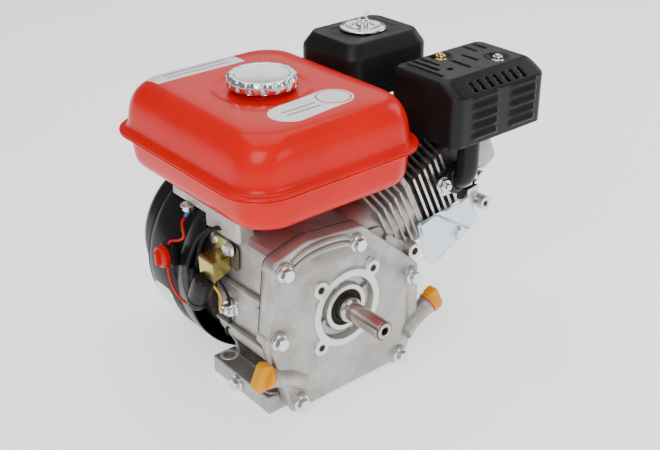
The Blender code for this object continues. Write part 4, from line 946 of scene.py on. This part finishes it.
# silencer guard: a pressed box with a sloped front, louvres, slots and grooves
guardLow, guardHigh = millimetres("muffler_guard")
guard = {"corner": 11, "around": 330, "slope": (24, 12.5), "topRound": 8.0,
         "louvres": {"columns": ((171, 19.5), (226, 20.5)), "rows": (282.5, 272.2, 261.6, 251.2, 240.8),
                     "depth": 2.7,
                     "height": 9.4},
         "slots": {"x": tuple(160 + 11.7 * k for k in range(7)), "half": 2.4, "y": (-5.5, 5.0)},
         "grooves": ((143, 24, 80, 2.6), (153.5, 40, 82, 2.6), (164, 50, 84, 2.6), (184, 26, 55, 2.4),
                     (205, 36, 60, 2.4),
                     (226, 56, 78, 2.4), (240, 56, 78, 2.4)),
         "dimples": ((187, 72), (229, 31.5)), "hole": (164.5, 36)}


def guardSkin():
    t = np.linspace(0, 1, 9)
    run, drop = guard["slope"]
    wall = [(0, 0, z) for z in np.linspace(guardLow[2], guardHigh[2] - drop - 2, 36)]
    turn = [(0, 3.2 * k * k, guardHigh[2] - drop - 2 + 3.4 * k) for k in t[1:]]
    slope = [(guard["topRound"] * (1 - math.sqrt(max(0, 1 - (max(0, k - 0.25) / 0.75) ** 2))),
              3.2 + (run - 6) * k, guardHigh[2] - drop + 1.4 + (drop - 2.0) * k) for k in np.linspace(0, 1,
                      13)[1:]]
    ease = [(guard["topRound"] + 1.5 * k, run - 2.8 + 3 * k,
             guardHigh[2] - 0.6 + 0.6 * k * (2 - k)) for k in (0.5, 1)]
    rows = []
    for side, near, z in wall + turn + slope + ease:
        loop = roundLoop(box(guardLow[0] + side, guardHigh[0] - side, guardLow[1] + near,
                guardHigh[1] - side),
                         max(guard["corner"] - side * 0.5, 4), 10)
        rows.append(level(evenly(loop, guard["around"]), z))
    last = rows[-1]
    middle = np.array([last[:, 0].mean(), last[:, 1].mean(), last[0, 2]])
    rows += [middle + (last - middle) * share for share in np.linspace(1, 0.01, 34)[1:]]
    grid = np.stack(rows)
    x, y, z = grid[..., 0], grid[..., 1], grid[..., 2]
    onFront = ((y < guardLow[1] + 0.2) & (x > guardLow[0] + guard["corner"])
               & (x < guardHigh[0] - guard["corner"]))
    push = np.zeros(x.shape)
    louvres = guard["louvres"]
    for middleX, half in louvres["columns"]:
        for low in louvres["rows"]:
            across = softStep((half - np.abs(x - middleX)) / 4.0)
            up = (z - low) / louvres["height"]
            push = np.maximum(push, louvres["depth"] * across * softStep(up / 0.16)
                              * softStep((1.02 - up) / 0.95))
    grid[..., 1] = y - np.where(onFront, push, 0)
    onTop = z > guardHigh[2] - 0.3
    sink = np.zeros(x.shape)
    for at, near, far, half in guard["grooves"]:
        sink = np.maximum(sink, 2.6 * softStep((half - np.abs(x - at)) / 1.6)
                          * softStep((y - near) / 3) * softStep((far - y) / 3))
    for atX, atY in guard["dimples"]:
        sink = np.maximum(sink, 4.2 * softStep((15 - np.hypot(x - atX, y - atY)) / 9))
    grid[..., 2] = z - np.where(onTop, sink, 0)
    points, faces = skin(grid, ends=False)

    def gone(centres):
        low, high = guard["slots"]["y"]
        slot = (np.abs(centres[:, :1] - np.array(guard["slots"]["x"])) < guard["slots"]["half"]).any(1)
        slot &= (centres[:, 1] > low) & (centres[:, 1] < high) & (centres[:, 2] > 284)
        hole = np.hypot(centres[:, 0] - guard["hole"][0], centres[:, 1] - guard["hole"][1]) < 3.0
        return slot | (hole & (centres[:, 2] > guardHigh[2] - 4))

    return pressed("mufflerGuard", points, faces, gone, 1.1, "blackSatin", "engine_block",
                   ["muffler_guard"])


guardSkin()
for (x, y), finish in zip(guard["dimples"], ("brass", "zinc")):
    nut = joined(hexHead(4.9, 4.6, 6.4, pose((x, y, guardHigh[2] - 4.3))),
                 lathe([(2.9, 0), (2.9, 6.6), (0.4, 7.0)], 0.6, pose((x, y, guardHigh[2] - 4.3)), 20))
    piece(f"{finish}GuardNut", nut, finish, "engine_block", crease=30)
print("guard made")

# exhaust elbow with its flange, studs and nuts
pipeX = sum(side[0] for side in millimetres("exhaust_pipe")) / 2
elbow = {"line": ((25, 184), (21, 185.5), (15.5, 191), (12.4, 201), (12, 217), (12, 240.5)), "level": 184,
         "radius": 11.2, "studs": (-24, 24)}
pipeLine = smoothLine([(pipeX, y, z) for y, z in elbow["line"]], 10)
flange = slab([(-33, 0), (0, -20), (33, 0), (0, 20)], (8, 14, 8, 14), -29.6, -23.4, 1.0, 10,
              front(0, pipeX, elbow["level"]))
bead = lathe([(11.3, 23.6), (15.5, 23.4), (14.2, 20.5), (11.3, 19.6)], 0.8, back(0, pipeX, elbow["level"]),
             40, tube=True)
collar = lathe([(11.4, 233), (13.8, 233), (13.8, 240), (11.4, 240)], 0.8, pose((pipeX, 12, 0)), 40,
               tube=True)
piece("exhaustElbow", joined(tube(pipeLine, elbow["radius"], 36), flange, bead, collar), "blackSatin",
      "engine_block", ["exhaust_pipe"])
studs = []
for x in elbow["studs"]:
    where = front(23.4, pipeX + x, elbow["level"])
    studs += [hexHead(6.3, 6.2, 0, where), lathe([(3.6, 0), (3.6, 10.5), (0.4, 11)], 0.6, where, 20),
              lathe([(8.2, -0.1), (8.2, 1.2), (3.8, 1.2)], 0.3, where, 28)]
piece("elbowNuts", joined(*studs), "zinc", "engine_block", crease=30)
print("elbow made")

# air cleaner: a moulded lid with a sloped shoulder, and a chrome disc under its wing nut
lidLow, lidHigh = millimetres("air_filter_cover")
lidShoulder = lidHigh[2] - 14.0


def lidSkin():
    rows = []
    top = lidHigh[2]
    for side, z, radius in [(3, lidLow[2] + 0.1, 14), (0.4, lidLow[2] + 0.1, 17), (0, lidLow[2] + 0.6, 17),
            (0, lidLow[2] + 6, 17),
                            (0.1, lidLow[2] + 6.6, 17), (0.7, lidLow[2] + 7.4, 17), (0.8, lidLow[2] + 8.4,
                                    17),
                            (0.8, lidShoulder - 4, 17), (0.9, lidShoulder - 1.5, 17), (1.5,
                                    lidShoulder + 0.6, 17),
                            (2.6, lidShoulder + 2.6, 16.5), (6.0, top - 5.6, 15.5), (8.2, top - 1.9,
                                    14.5), (9.3, top - 0.6, 14),
                            (11, top - 0.05, 13), (13.5, top, 12), (22, top, 10), (23.2, top - 0.5,
                                    10), (24.2, top - 1.1, 10),
                            (36, top - 1.1, 6), (44, top - 1.1, 2)]:
        loop = roundLoop(box(lidLow[0] + side, lidHigh[0] - side, lidLow[1] + side, lidHigh[1] - side),
                radius, 12)
        rows.append(level(evenly(loop, 240), z))
    return skin(rows)


piece("filterLid", lidSkin(), "blackPlastic", "filter_lid", ["air_filter_cover"], crease=50)
nutPlace = (np.array(joints["wing_nut_spin"]["pos_m"]) - engineOrigin) * 1000
nutFrame = pose((nutPlace[0], nutPlace[1], lidHigh[2]))


# each wing is an ear: a slab whose outline flares from the hub and rounds over at the top
def wingNut():
    disc = lathe([(3.4, 0.35), (24.8, 0.35), (25, 1.0), (24, 2.0), (19, 3.1), (17.5, 2.4), (12, 2.2),
                  (9, 3.2), (3.4, 3.2)], 0.6, nutFrame, 64, tube=True)
    hub = lathe([(3.4, 3.2), (7.4, 3.2), (6.9, 8), (5.6, 10), (3.4, 10)], 0.8, nutFrame, 40, tube=True)
    wings = []
    for side in (0, 1):
        angle = math.radians(30 + 180 * side)
        out = (math.cos(angle), math.sin(angle), 0)
        where = pose(nutFrame[1], np.cross(out, (0, 0, 1)), out)
        wings.append(slab([(5.2, 4.2), (9, 4.6), (17, 9.5), (15.5, 14.8), (8.5, 12.2), (5.2, 9)],
                (1, 2, 3, 3, 3, 1), -1.3, 1.3, 0.9, 8, where))
    return joined(disc, hub, *wings)


piece("wingNut", wingNut(), "chrome", "filter_nut", ["air_filter_wing_nut"], crease=40)
print("air cleaner made")


# fan housing: a scroll drum with a rolled front lip, a mouth behind, and the snout over the cylinder
housingLow, housingHigh = millimetres("blower_housing")
housing = {"radius": 101.0, "right": 126.0, "top": 180.0, "mouth": 70.0, "wall": 2.0, "around": 300}


# a long arc about the crank's axis that opens into a snout
def scroll(inset):
    angle = np.radians(np.linspace(78, 348, 90))
    radius = housing["radius"] - inset
    arc = np.stack([radius * np.cos(angle), shaftHeight + radius * np.sin(angle)], 1)
    right, top = housing["right"] - inset, housing["top"] - inset
    snout = roundLoop([(right - 14, 86 + inset), (right, 92 + inset), (right, top), (right - 90, top)],
                      (4, 6, 14, 1), 8)[:24]
    return evenly(np.concatenate([arc, snout[:24]]), housing["around"])


def housingSkin():
    near, far, wall = housingLow[1], housingHigh[1], housing["wall"]
    rim = scroll(0)
    angle = np.arctan2(rim[:, 1] - shaftHeight, rim[:, 0])

    def circleAt(radius):
        return np.stack([radius * np.cos(angle), shaftHeight + radius * np.sin(angle)], 1)

    rows = [(scroll(wall), near + 0.4), (scroll(wall), far - wall),
            (circleAt(housing["mouth"] + 6), far - wall),
            (circleAt(housing["mouth"] + 0.4), far - wall + 0.4), (circleAt(housing["mouth"]), far - 1.0),
            (circleAt(housing["mouth"] + 0.6), far - 0.1), (circleAt(housing["mouth"] + 5),
                    far), (scroll(15), far),
            (scroll(9), far - 0.6), (scroll(5), far - 2.4), (scroll(2), far - 5.4), (scroll(0.6),
                    far - 9.5), (scroll(0), far - 14),
            (scroll(0), near + 24), (scroll(0.9), near + 22.8), (scroll(0.9), near + 20), (scroll(0),
                    near + 18.8),
            (scroll(0), near + 5), (scroll(0), near + 0.8), (scroll(0.5), near + 0.1), (scroll(1.5), near)]
    grid = np.stack([np.stack([loop[:, 0], np.full(len(loop), y), loop[:, 1]], 1) for loop, y in rows])
    return skin(grid, tube=True)


piece("fanHousing", housingSkin(), "blackGloss", "engine_block", ["blower_housing"], crease=45)


# recoil cover: a turned dish with a ring of slots, walled by Solidify
def recoilSkin():
    low, high = millimetres("recoil_cover")
    base, top = housingHigh[1] + gap, high[1]
    profile = eased([(90, base), (90, base + 3.4), (83.5, base + 5.5), (81.6, top - 17), (78, top - 10),
                     (71, top - 3.6),
                     (58, top - 0.05), (50, top - 0.05), (26, top - 0.4), (22, top - 3), (1,
                             top - 3)], 3.0, 6)
    distances = np.concatenate([[0], np.cumsum(np.linalg.norm(np.diff(profile, axis=0), axis=1))])
    marks = np.linspace(0, distances[-1], 64)
    profile = np.stack([np.interp(marks, distances, profile[:, k]) for k in (0, 1)], 1)
    points, faces = turned(profile, crankAxis, 180, ends=False)

    def gone(centres):
        radius = np.hypot(centres[:, 0], centres[:, 2] - shaftHeight)
        angle = np.arctan2(centres[:, 2] - shaftHeight, centres[:, 0]) + 0.012 * (radius - 30)
        slot = np.abs((angle / fullTurn * 20) % 1 - 0.5) < 0.24
        return slot & (radius > 31) & (radius < 55) & (centres[:, 1] > top - 3)

    pressed("recoilCover", points, faces, gone, 1.3, "blackGloss", "engine_block", ["recoil_cover"])
    hub = lathe([(7.9, 206), (7.9, top - 2.4), (13, top - 2.4), (15, top - 0.8), (12, top - 0.2),
                 (1, top - 0.2)], 0.8, crankAxis, 48)
    hubLow = turned([(1, 206), (7.9, 206), (7.9, 212), (1, 212)], crankAxis, 24)
    spout = slab(box(-9.5, 9.5, -8, 8), 3.5, 72, 85.9, 1.2, 8,
                 pose((0, gripPlace[1], gripPlace[2]), (1, 0, 0), (0, 0, 1)))
    piece("recoilHub", joined(hub, hubLow, spout), "blackGloss", "engine_block")


gripLow, gripHigh = millimetres("recoil_handle")
gripPlace = np.array([98.0, (gripLow[1] + gripHigh[1]) / 2, (gripLow[2] + gripHigh[2]) / 2])
recoilSkin()
bolts = [hexHead(4.6, 4.6, 6.6, pose((86.2 * math.cos(a), housingHigh[1] + 3.7,
        shaftHeight + 86.2 * math.sin(a)), (0, 1, 0)))
         for a in np.radians((35, 155, 275))]
piece("recoilBolts", joined(*bolts), "zinc", "engine_block", crease=30)
grip = lathe([(1, -30), (6, -29.8), (9.3, -26), (9.4, -20), (7.6, -10), (7.9, 0), (7.6, 10), (9.4, 20),
              (9.3, 26), (6, 29.8), (1, 30)], 3, pose(gripPlace), 40, arc=6)
neck = lathe([(2.6, 86.4), (5.2, 86.4), (6.8, 90), (7.0, 96), (2.6, 96)], 0.8,
             pose((0, gripPlace[1], gripPlace[2]), (1, 0, 0), (0, 1, 0)), 32, tube=True)
piece("starterGrip", joined(grip, neck), "rubber", "starter_grip", ["recoil_handle"])
print("fan end made")

# the drum's blank label, bent round it: angle about the crank's axis, depth along it
labelAngle = np.radians(np.linspace(190, 213, 30))[:, None]
labelDepth = np.linspace(164, 197, 18)[None, :]
bent = np.stack(np.broadcast_arrays((housing["radius"] + 0.25) * np.cos(labelAngle), labelDepth,
                                    shaftHeight + (housing["radius"] + 0.25) * np.sin(labelAngle)), -1)
corner = (np.arange(29)[:, None] - 14) ** 6 / 14.0 ** 6 + (np.arange(17)[None, :] - 8) ** 6 / 8.0 ** 6
piece("drumLabel", sheet(bent, 0.3, corner < 1.25), "whiteVinyl", "engine_block",
      crease=60)
print("drum label made")


# stop switch: a ribbed knob with a finger fin
switchPlace = (np.array(joints["stop_switch_turn"]["pos_m"]) - engineOrigin) * 1000
switchFrame = leftward(*switchPlace)


def switchKnob():
    angle = np.arange(180) / 180 * fullTurn
    profile = eased([(1, 7.4), (11.3, 7.4), (11.4, 13.0), (10.2, 14.6), (7, 15.2), (1, 15.3)], 0.8)
    ribs = 0.28 * np.cos(angle * 30) * (profile[:, :1] > 10.9)
    radius = profile[:, :1] + ribs
    rows = np.stack([radius * np.cos(angle), radius * np.sin(angle),
                     np.broadcast_to(profile[:, 1:], radius.shape)], -1)
    outline = [(-9, 12.8), (9, 12.8), (7.5, 19.2), (-7.5, 19.2)]
    fin = slab(outline, (1, 1, 3, 3), -2.2, 2.2, 1.0, 8, tipped(switchFrame))
    return joined(skin(rows, switchFrame), fin)


piece("stopKnob", switchKnob(), "redPlastic", "stop_switch", ["stop_switch_knob"], crease=40)
base = joined(slab(box(-11, 11, -11, 11), 3.5, -1.5, 5.8, 1.2, 8, switchFrame),
              lathe([(1, 5), (11.4, 5), (11.4, 7.1), (1, 7.1)], 0.4, switchFrame, 40))
piece("switchBase", base, "blackPlastic", "engine_block", ["stop_switch_base"])

# oil alert unit: a dipped can hung from a plated clamp
unitLow, unitHigh = np.array([-100.0, 115, 96]), np.array([-100.0, 99, 127])
unitFrame = pose(unitLow, unitHigh - unitLow, (1, 0, 0))
unitLength = np.linalg.norm(unitHigh - unitLow)
can = lathe([(1, 0.2), (7.6, 0.2), (10.9, 4.2), (11, unitLength - 2), (10.2, unitLength + 4),
             (8.6, unitLength + 9), (1, unitLength + 9.6)], 2.4, unitFrame, 56, arc=6)
bandRing = lathe([(10.8, 10), (11.6, 10.2), (11.6, 12.6), (10.8, 12.8)], 0.3, unitFrame, 56, tube=True)
piece("oilAlertCan", joined(can, bandRing), "blackSatin", "engine_block", ["oil_alert_unit"], crease=50)


# a strip of sheet: its bent path is thickened both ways, and the four edge lines run its full width
def strip(path, width, thickness, where, bend=2.5):
    line = eased(path, bend, 6)
    tangent = unit(np.gradient(line, axis=0))
    normal = np.stack([-tangent[:, 1], tangent[:, 0]], 1) * thickness / 2
    edges = [np.concatenate([line + side * normal, np.full((len(line), 1), end * width / 2)], 1)
             for side, end in ((-1, -1), (1, -1), (1, 1), (-1, 1))]
    return skin(np.stack(edges, 1), where)


clampFrame = front(92.5)
saddle = strip([(-97.8, 135.2), (-98.6, 156.2), (-80.2, 156.2), (-79.3, 174)], 24.5, 1.5, clampFrame, 3.0)
cheek = slab([(-97.5, 136), (-80, 143), (-80, 155), (-97.5, 155.5)], (2, 2, 1, 2), 11.2, 12.4, 0.3, 6,
             clampFrame)
piece("alertClamp", joined(saddle, cheek), "yellowZinc", "engine_block", ["oil_alert_clamp"], crease=40)
plateFrame = pose((-77.5, 0, 0), (-1, 0, 0), (0, -1, 0))
darkPlate = slab([(-114, 149), (-68, 146), (-66, 171), (-84, 178), (-112, 176)], (3, 3, 5, 4, 5), 0.2, 1.6,
                 0.4, 6, plateFrame)
piece("alertPlate", darkPlate, "darkSteel", "engine_block")
plateBolt = joined(hexHead(5.2, 5.8, 7.4, leftward(-80.5, 77.6, 167.7)),
                   hexHead(4.0, 4.0, 5.6, leftward(-79.2, 104, 168)))
piece("alertBolts", plateBolt, "zinc", "engine_block", crease=30)

# oil switch with its nut, and the nut under the bracket
sensorFrame = leftward(-76, 86, 97)
sensor = joined(hexHead(8.2, 5.6, 10.2, sensorFrame),
                lathe([(5.6, 5), (5.6, 9.4), (4.4, 10.2), (1, 10.2)], 0.5, sensorFrame, 32),
                lathe([(1.9, 10), (1.9, 14), (0.4, 14.2)], 0.4, sensorFrame, 16),
                turned([(0.5, -6), (3.9, -6), (3.9, 0.4), (0.5, 0.4)], sensorFrame, 20))
piece("oilSwitch", sensor, "zinc", "engine_block", ["oil_level_switch"], crease=30)
boss = lathe([(14.5, -2.2), (12.4, 0.1), (11.2, 0.25), (1, 0.25)], 1.0, leftward(-75.9, 86, 97), 40)
piece("oilSwitchBoss", boss, "castAluminium", "engine_block")
under = pose((-80, 149, 187.6), (0, 0, -1), (1, 0, 0))
piece("bracketNut", joined(hexHead(5.4, 6, 7.6, under),
        lathe([(2.8, 5), (2.8, 9), (0.4, 9.2)], 0.4, under, 20)), "zinc", "engine_block", crease=30)
drainFrame = leftward(-79.2, 80, 9.5)
drain = joined(hexHead(6.4, 7.2, 8.6, drainFrame, dish=0.5),
               turned([(0.5, -14), (4.9, -14), (4.9, 0.3), (0.5, 0.3)], drainFrame, 24))
piece("drainPlug", drain, "zinc", "engine_block", ["oil_drain_plug"], crease=30)

# leads: smooth tubes through listed points
leads = {
    "stopLeadUpper": ("redLead", 1.35, ((-84, 148.6, 176), (-90, 145, 173), (-94, 139, 170),
            (-96, 134, 165.5), (-97, 135, 161), (-99, 142, 156.5), (-101.5, 150, 153.5), (-102.5, 154,
                    149))),
    "stopLeadLower": ("redLead", 1.35, ((-104.5, 155, 126), (-105.5, 154, 118), (-106, 149, 106),
            (-105, 141, 97), (-103, 131, 92), (-101.5, 122, 92), (-100.4, 115.5, 95))),
    "stopLeadEnd": ("blueLead", 2.1, ((-80.5, 149, 182), (-82, 148.6, 178.5), (-84.5, 148, 175.6))),
    "switchLead": ("yellowLead", 1.35, ((-97, 97, 134), (-93, 93, 126), (-89, 90.5, 118), (-87, 89, 110),
            (-89.5, 87, 103), (-90, 86.3, 98.5))),
    "earthLead": ("rubber", 1.5, ((-90, 89, 134), (-86, 84, 124), (-82.5, 82.5, 112), (-80.5, 84, 96),
            (-79, 88, 80), (-77.5, 96, 68), (-72, 107, 56), (-64, 116, 44))),
    "coilLead": ("rubber", 2.3, ((-92, 122, 122), (-92, 121, 134), (-91, 117, 150), (-89, 112, 166),
            (-86, 104, 178), (-80, 92, 184), (-73, 80, 180))),
    "clipLead": ("rubber", 1.9, ((-97, 124, 118), (-99, 126.5, 128), (-99, 124.4, 140), (-97, 119, 154),
            (-93, 112, 170), (-86, 101, 183)))}
for name, (finish, radius, points) in leads.items():
    piece(name, tube(smoothLine(points, 8), radius, 12), finish, "engine_block", crease=60)
sleeve = tube(smoothLine(((-100.5, 110, 103), (-99, 117.5, 108), (-97, 120.5, 122), (-96.5, 121.5, 133)),
        6), 3.4, 14)
piece("leadSleeve", sleeve, "rubber", "engine_block")
print("electrics and leads made")


# casting detail: ribs, bosses and webs that the plain CAD solid leaves out
armAxis = back(0, 108, 121)
armShapes = [lathe([(4.2, 19.7), (8.6, 19.7), (8.8, 24), (9.6, 40), (10.5, 50), (1, 50)], 0.8, armAxis, 40)]
armShapes += [slab([(70, 132), (102, 116), (112, 119), (104, 129), (76, 150)], (3, 3, 5, 5, 3), -31, -27.4,
                   0.9, 6, front(0)),
              slab([(52, 158), (60, 148), (112, 122), (114, 129), (70, 158)], (3, 3, 3, 4, 3), -52, -33,
                   1.2, 6, front(0)),
              tube(smoothLine(((74, 31, 143), (90, 30, 134), (104, 29, 126)), 6), 2.0, 10),
              tube(smoothLine(((72, 31, 132), (84, 30, 124), (101, 29, 117)), 6), 2.0, 10),
              tube(smoothLine(((80, 31, 126), (86, 30, 132), (93, 29, 134)), 6), 1.8, 10)]
piece("armCasting", joined(*armShapes), "castAluminium", "engine_block", crease=40)
armFace = lathe([(4.3, 19.75), (4.3, 19.45), (8.3, 19.45), (8.3, 19.75)], 0.1, armAxis, 48, tube=True)
# a dark disc in the boss's bore: painted shade for its hole
armHoleShade = turned([(4.2, 19.74), (4.2, 19.6), (0.3, 19.6)], armAxis, 24)
piece("armFace", armFace, "machinedFace", "engine_block")
piece("armHoleShade", armHoleShade, "rubber", "engine_block")
headFace = lathe([(4.0, 0.25), (4.0, 0.5), (7.6, 0.5), (7.6, 0.1)], 0.1, front(19.9, 213, 142), 40,
                 tube=True)
piece("headBossFace", headFace, "machinedFace", "engine_block")

# ribs and pads on the case's left wall
wallX = -77.0
leftRibs = [tube(smoothLine(((wallX - 2.6, 28, z + 2), (wallX - 2.2, 60, z + 1), (wallX - 1.2, 100, z),
        (wallX - 1, 111, z)), 6), 2.4, 12,
                 radii=np.linspace(3.0, 2.0, 19)) for z in (128, 76)]
leftRibs += [lathe([(9.5, -3), (8.2, 1.2), (7.4, 2.2), (1, 2.2)], 1.2, leftward(-76, 36, 112 - 22 * k),
                   32) for k in (0, 1)]
piece("caseRibs", joined(*leftRibs), "castAluminium", "engine_block", crease=45)
padTop = [lathe([(6.9, 20.2), (9.6, 20.2), (9.2, 20.9), (6.9, 20.9)], 0.2, pose((x, y, 0)), 36, tube=True)
          for x in (-66, 96) for y in (38, 113.5)]
piece("footPads", joined(*padTop), "machinedFace", "engine_block")
print("casting detail made")

# lower plate under the silencer: a sheet with two creases and a dimple at its bolt

def lowerPlate():
    outline = [(118, 146), (152, 149.5), (182, 150), (194, 154), (204, 136), (214, 120), (136, 84)]
    loop = evenly(roundLoop(outline, (3, 12, 10, 4, 6, 8, 14), 10), 260)
    middle = loop.mean(0)
    share = np.linspace(1, 0.015, 46)[:, None, None]
    flat = middle + (loop - middle)[None] * share
    across = (flat[..., 0] - 118) * 0.55 + (flat[..., 1] - 84) * 0.83
    crease = 1.5 * softStep((across - 40) / 5) - 1.6 * softStep((across - 66) / 4) + 0.9 * np.sin(flat[...,
            0] * 0.16 + flat[..., 1] * 0.05)
    dish = -1.4 * softStep((9 - np.hypot(flat[..., 0] - 176, flat[..., 1] - 117)) / 4)
    fade = softStep((1 - share[..., 0]) / 0.08)
    depth = 27.2 - (crease * 1.25 + dish) * fade
    upper = np.stack([flat[..., 0], depth, flat[..., 1]], -1)
    return skin(np.concatenate([upper[::-1], upper + (0, 1.1, 0)]))


piece("lowerPlate", lowerPlate(), "blueZinc", "engine_block", ["lower_shroud"], crease=30)
piece("lowerPlateBolt", hexHead(5.2, 5.6, 7.8, front(26.8, 177.5, 116)), "zinc", "engine_block", crease=30)
print("lower plate made")

# rocker cover: a cast lid on a rim, with a low panel on top
rockerShape = joined(slab(box(-20.9, 41.9, -38.9, 38.9), 10, 222.4, 227, 0.8, 10, cylinder),
                     slab(box(-18, 39, -36, 36), 11, 226, 257.8, 9, 10, cylinder, lowEdge=0.3),
                     slab(box(-8, 29, -26, 26), 8, 256, 257.95, 1.0, 10, cylinder, lowEdge=0.3))
piece("rockerLid", rockerShape, "castAluminium", "engine_block", ["rocker_cover"], crease=40)
print("rocker cover made")

# starter cord from the guide to the grip: a straight tube
starterCord = {"from": 78, "to": 97, "radius": 1.6, "held": 84, "pulled": 93}


def cordAt(x):
    return np.stack([x, np.full(x.shape, gripPlace[1]), np.full(x.shape, gripPlace[2])], -1)


cord = piece("starterCord", tube(cordAt(np.linspace(starterCord["from"], starterCord["to"], 40)),
        starterCord["radius"], 12),
             "cord", None)
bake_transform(cord)
print("starter cord made")


# every CAD node that still shows gets its finish
slotFinish = {"cast_aluminium": "castAluminium", "dark_casting": "finCasting",
              "machined_steel": "darkSteel",
              "zinc_plate": "zinc", "yellow_zinc": "yellowZinc", "chrome": "chrome", "red_paint": "redPaint",
              "black_paint": "blackGloss", "black_plastic": "blackPlastic", "yellow_plastic": "yellowPlastic",
              "red_plastic": "redPlastic", "black_rubber": "rubber", "cast_iron": "ironCasting",
              "gasket_fibre": "gasket", "filter_foam": "foam", "rope_fibre": "cord"}
softEdges = {"crankcase": 0.9, "cylinder_head": 0.35, "carburetor_body": 1.0, "throttle_lever": 0.3,
             "control_bracket": 0.3, "choke_lever": 0.4, "fuel_valve_lever": 0.4, "ignition_coil": 0.6,
             "air_filter_base": 0.6, "muffler_body": 0.6}
for node, edge in softEdges.items():
    if not frame["nodes"][node].hide_render:
        softened(node, slotFinish[slotOf[node]], edge)
for node, shape in frame["nodes"].items():
    shape.data.materials.clear()
    shape.data.materials.append(finishes[slotFinish[slotOf[node]]])
print("nodes finished:", len(frame["nodes"]))


# floor, lights and camera
def floor():
    made = Finish("paleFloor", (0.92, 0.92, 0.92), 0.55)
    haze = made.noise(2.5, 3)
    made.colour(made.mixed(haze.between(0.3, 0.7), (0.93, 0.93, 0.93), (0.90, 0.90, 0.90)))
    made.rough(haze * 0.1 + 0.5)
    made.shader.inputs["Emission Color"].default_value = (1, 1, 1, 1)
    made.shader.inputs["Emission Strength"].default_value = studio["floorGlow"]
    mesh = bpy.data.meshes.new("floor")
    size = studio["floorHalf"]
    mesh.from_pydata([(-size, -size, -0.0004), (size, -size, -0.0004), (size, size, -0.0004),
                      (-size, size, -0.0004)], [], [(0, 1, 2, 3)])
    mesh.materials.append(made.material)
    plane = bpy.data.objects.new("floor", mesh)
    bpy.context.scene.collection.objects.link(plane)


def softbox(name, place, target, size, power, colour=(1, 1, 1)):
    lamp = bpy.data.lights.new(name, "AREA")
    lamp.shape, lamp.size, lamp.size_y = "RECTANGLE", size[0], size[1]
    lamp.energy, lamp.color = power, colour
    holder = bpy.data.objects.new(name, lamp)
    holder.location = place
    holder.rotation_euler = (Vector(target) - Vector(place)).to_track_quat("-Z", "Y").to_euler()
    bpy.context.scene.collection.objects.link(holder)


studio = {"floorHalf": 40.0, "worldStrength": 0.22, "floorGlow": 0.95,
          "boxes": [("keyBox", (-1.3, -0.9, 1.5), (0, 0, 0.15), (1.1, 1.1), 26),
                    ("frontBox", (0.5, -1.9, 1.0), (0, 0, 0.15), (1.0, 0.8), 9),
                    ("topBox", (0.2, 0.3, 1.9), (0, 0, 0.2), (1.5, 1.5), 17),
                    ("backBox", (1.3, 1.55, 1.5), (0, 0, 0.25), (1.6, 1.2), 8),
                    ("rightBox", (1.7, -0.2, 0.9), (0, 0, 0.15), (0.9, 1.2), 9)]}
floor()
for settings in studio["boxes"]:
    softbox(*settings)
world = bpy.data.worlds.new("studio")
world.use_nodes = True
world.node_tree.nodes["Background"].inputs["Color"].default_value = (1, 1, 1, 1)
world.node_tree.nodes["Background"].inputs["Strength"].default_value = studio["worldStrength"]
bpy.context.scene.world = world

view = {"place": (-0.61195, -0.73339, 0.63855), "azimuth": -39.49, "elevation": 27.99, "roll": -0.47,
        "lens": 55.44}


def camera():
    a, e, r = (math.radians(view[key]) for key in ("azimuth", "elevation", "roll"))
    behind = Vector((math.sin(a) * math.cos(e), -math.cos(a) * math.cos(e), math.sin(e)))
    right = Vector((math.cos(a), math.sin(a), 0))
    up = behind.cross(right)
    x, y = right * math.cos(r) + up * math.sin(r), up * math.cos(r) - right * math.sin(r)
    lens = bpy.data.cameras.new("camera")
    lens.lens, lens.sensor_width = view["lens"], 36.0
    holder = bpy.data.objects.new("camera", lens)
    holder.matrix_world = Matrix.Translation(view["place"]) @ Matrix((x, y, behind)).transposed().to_4x4()
    bpy.context.scene.collection.objects.link(holder)
    bpy.context.scene.camera = holder


camera()
print("studio set")
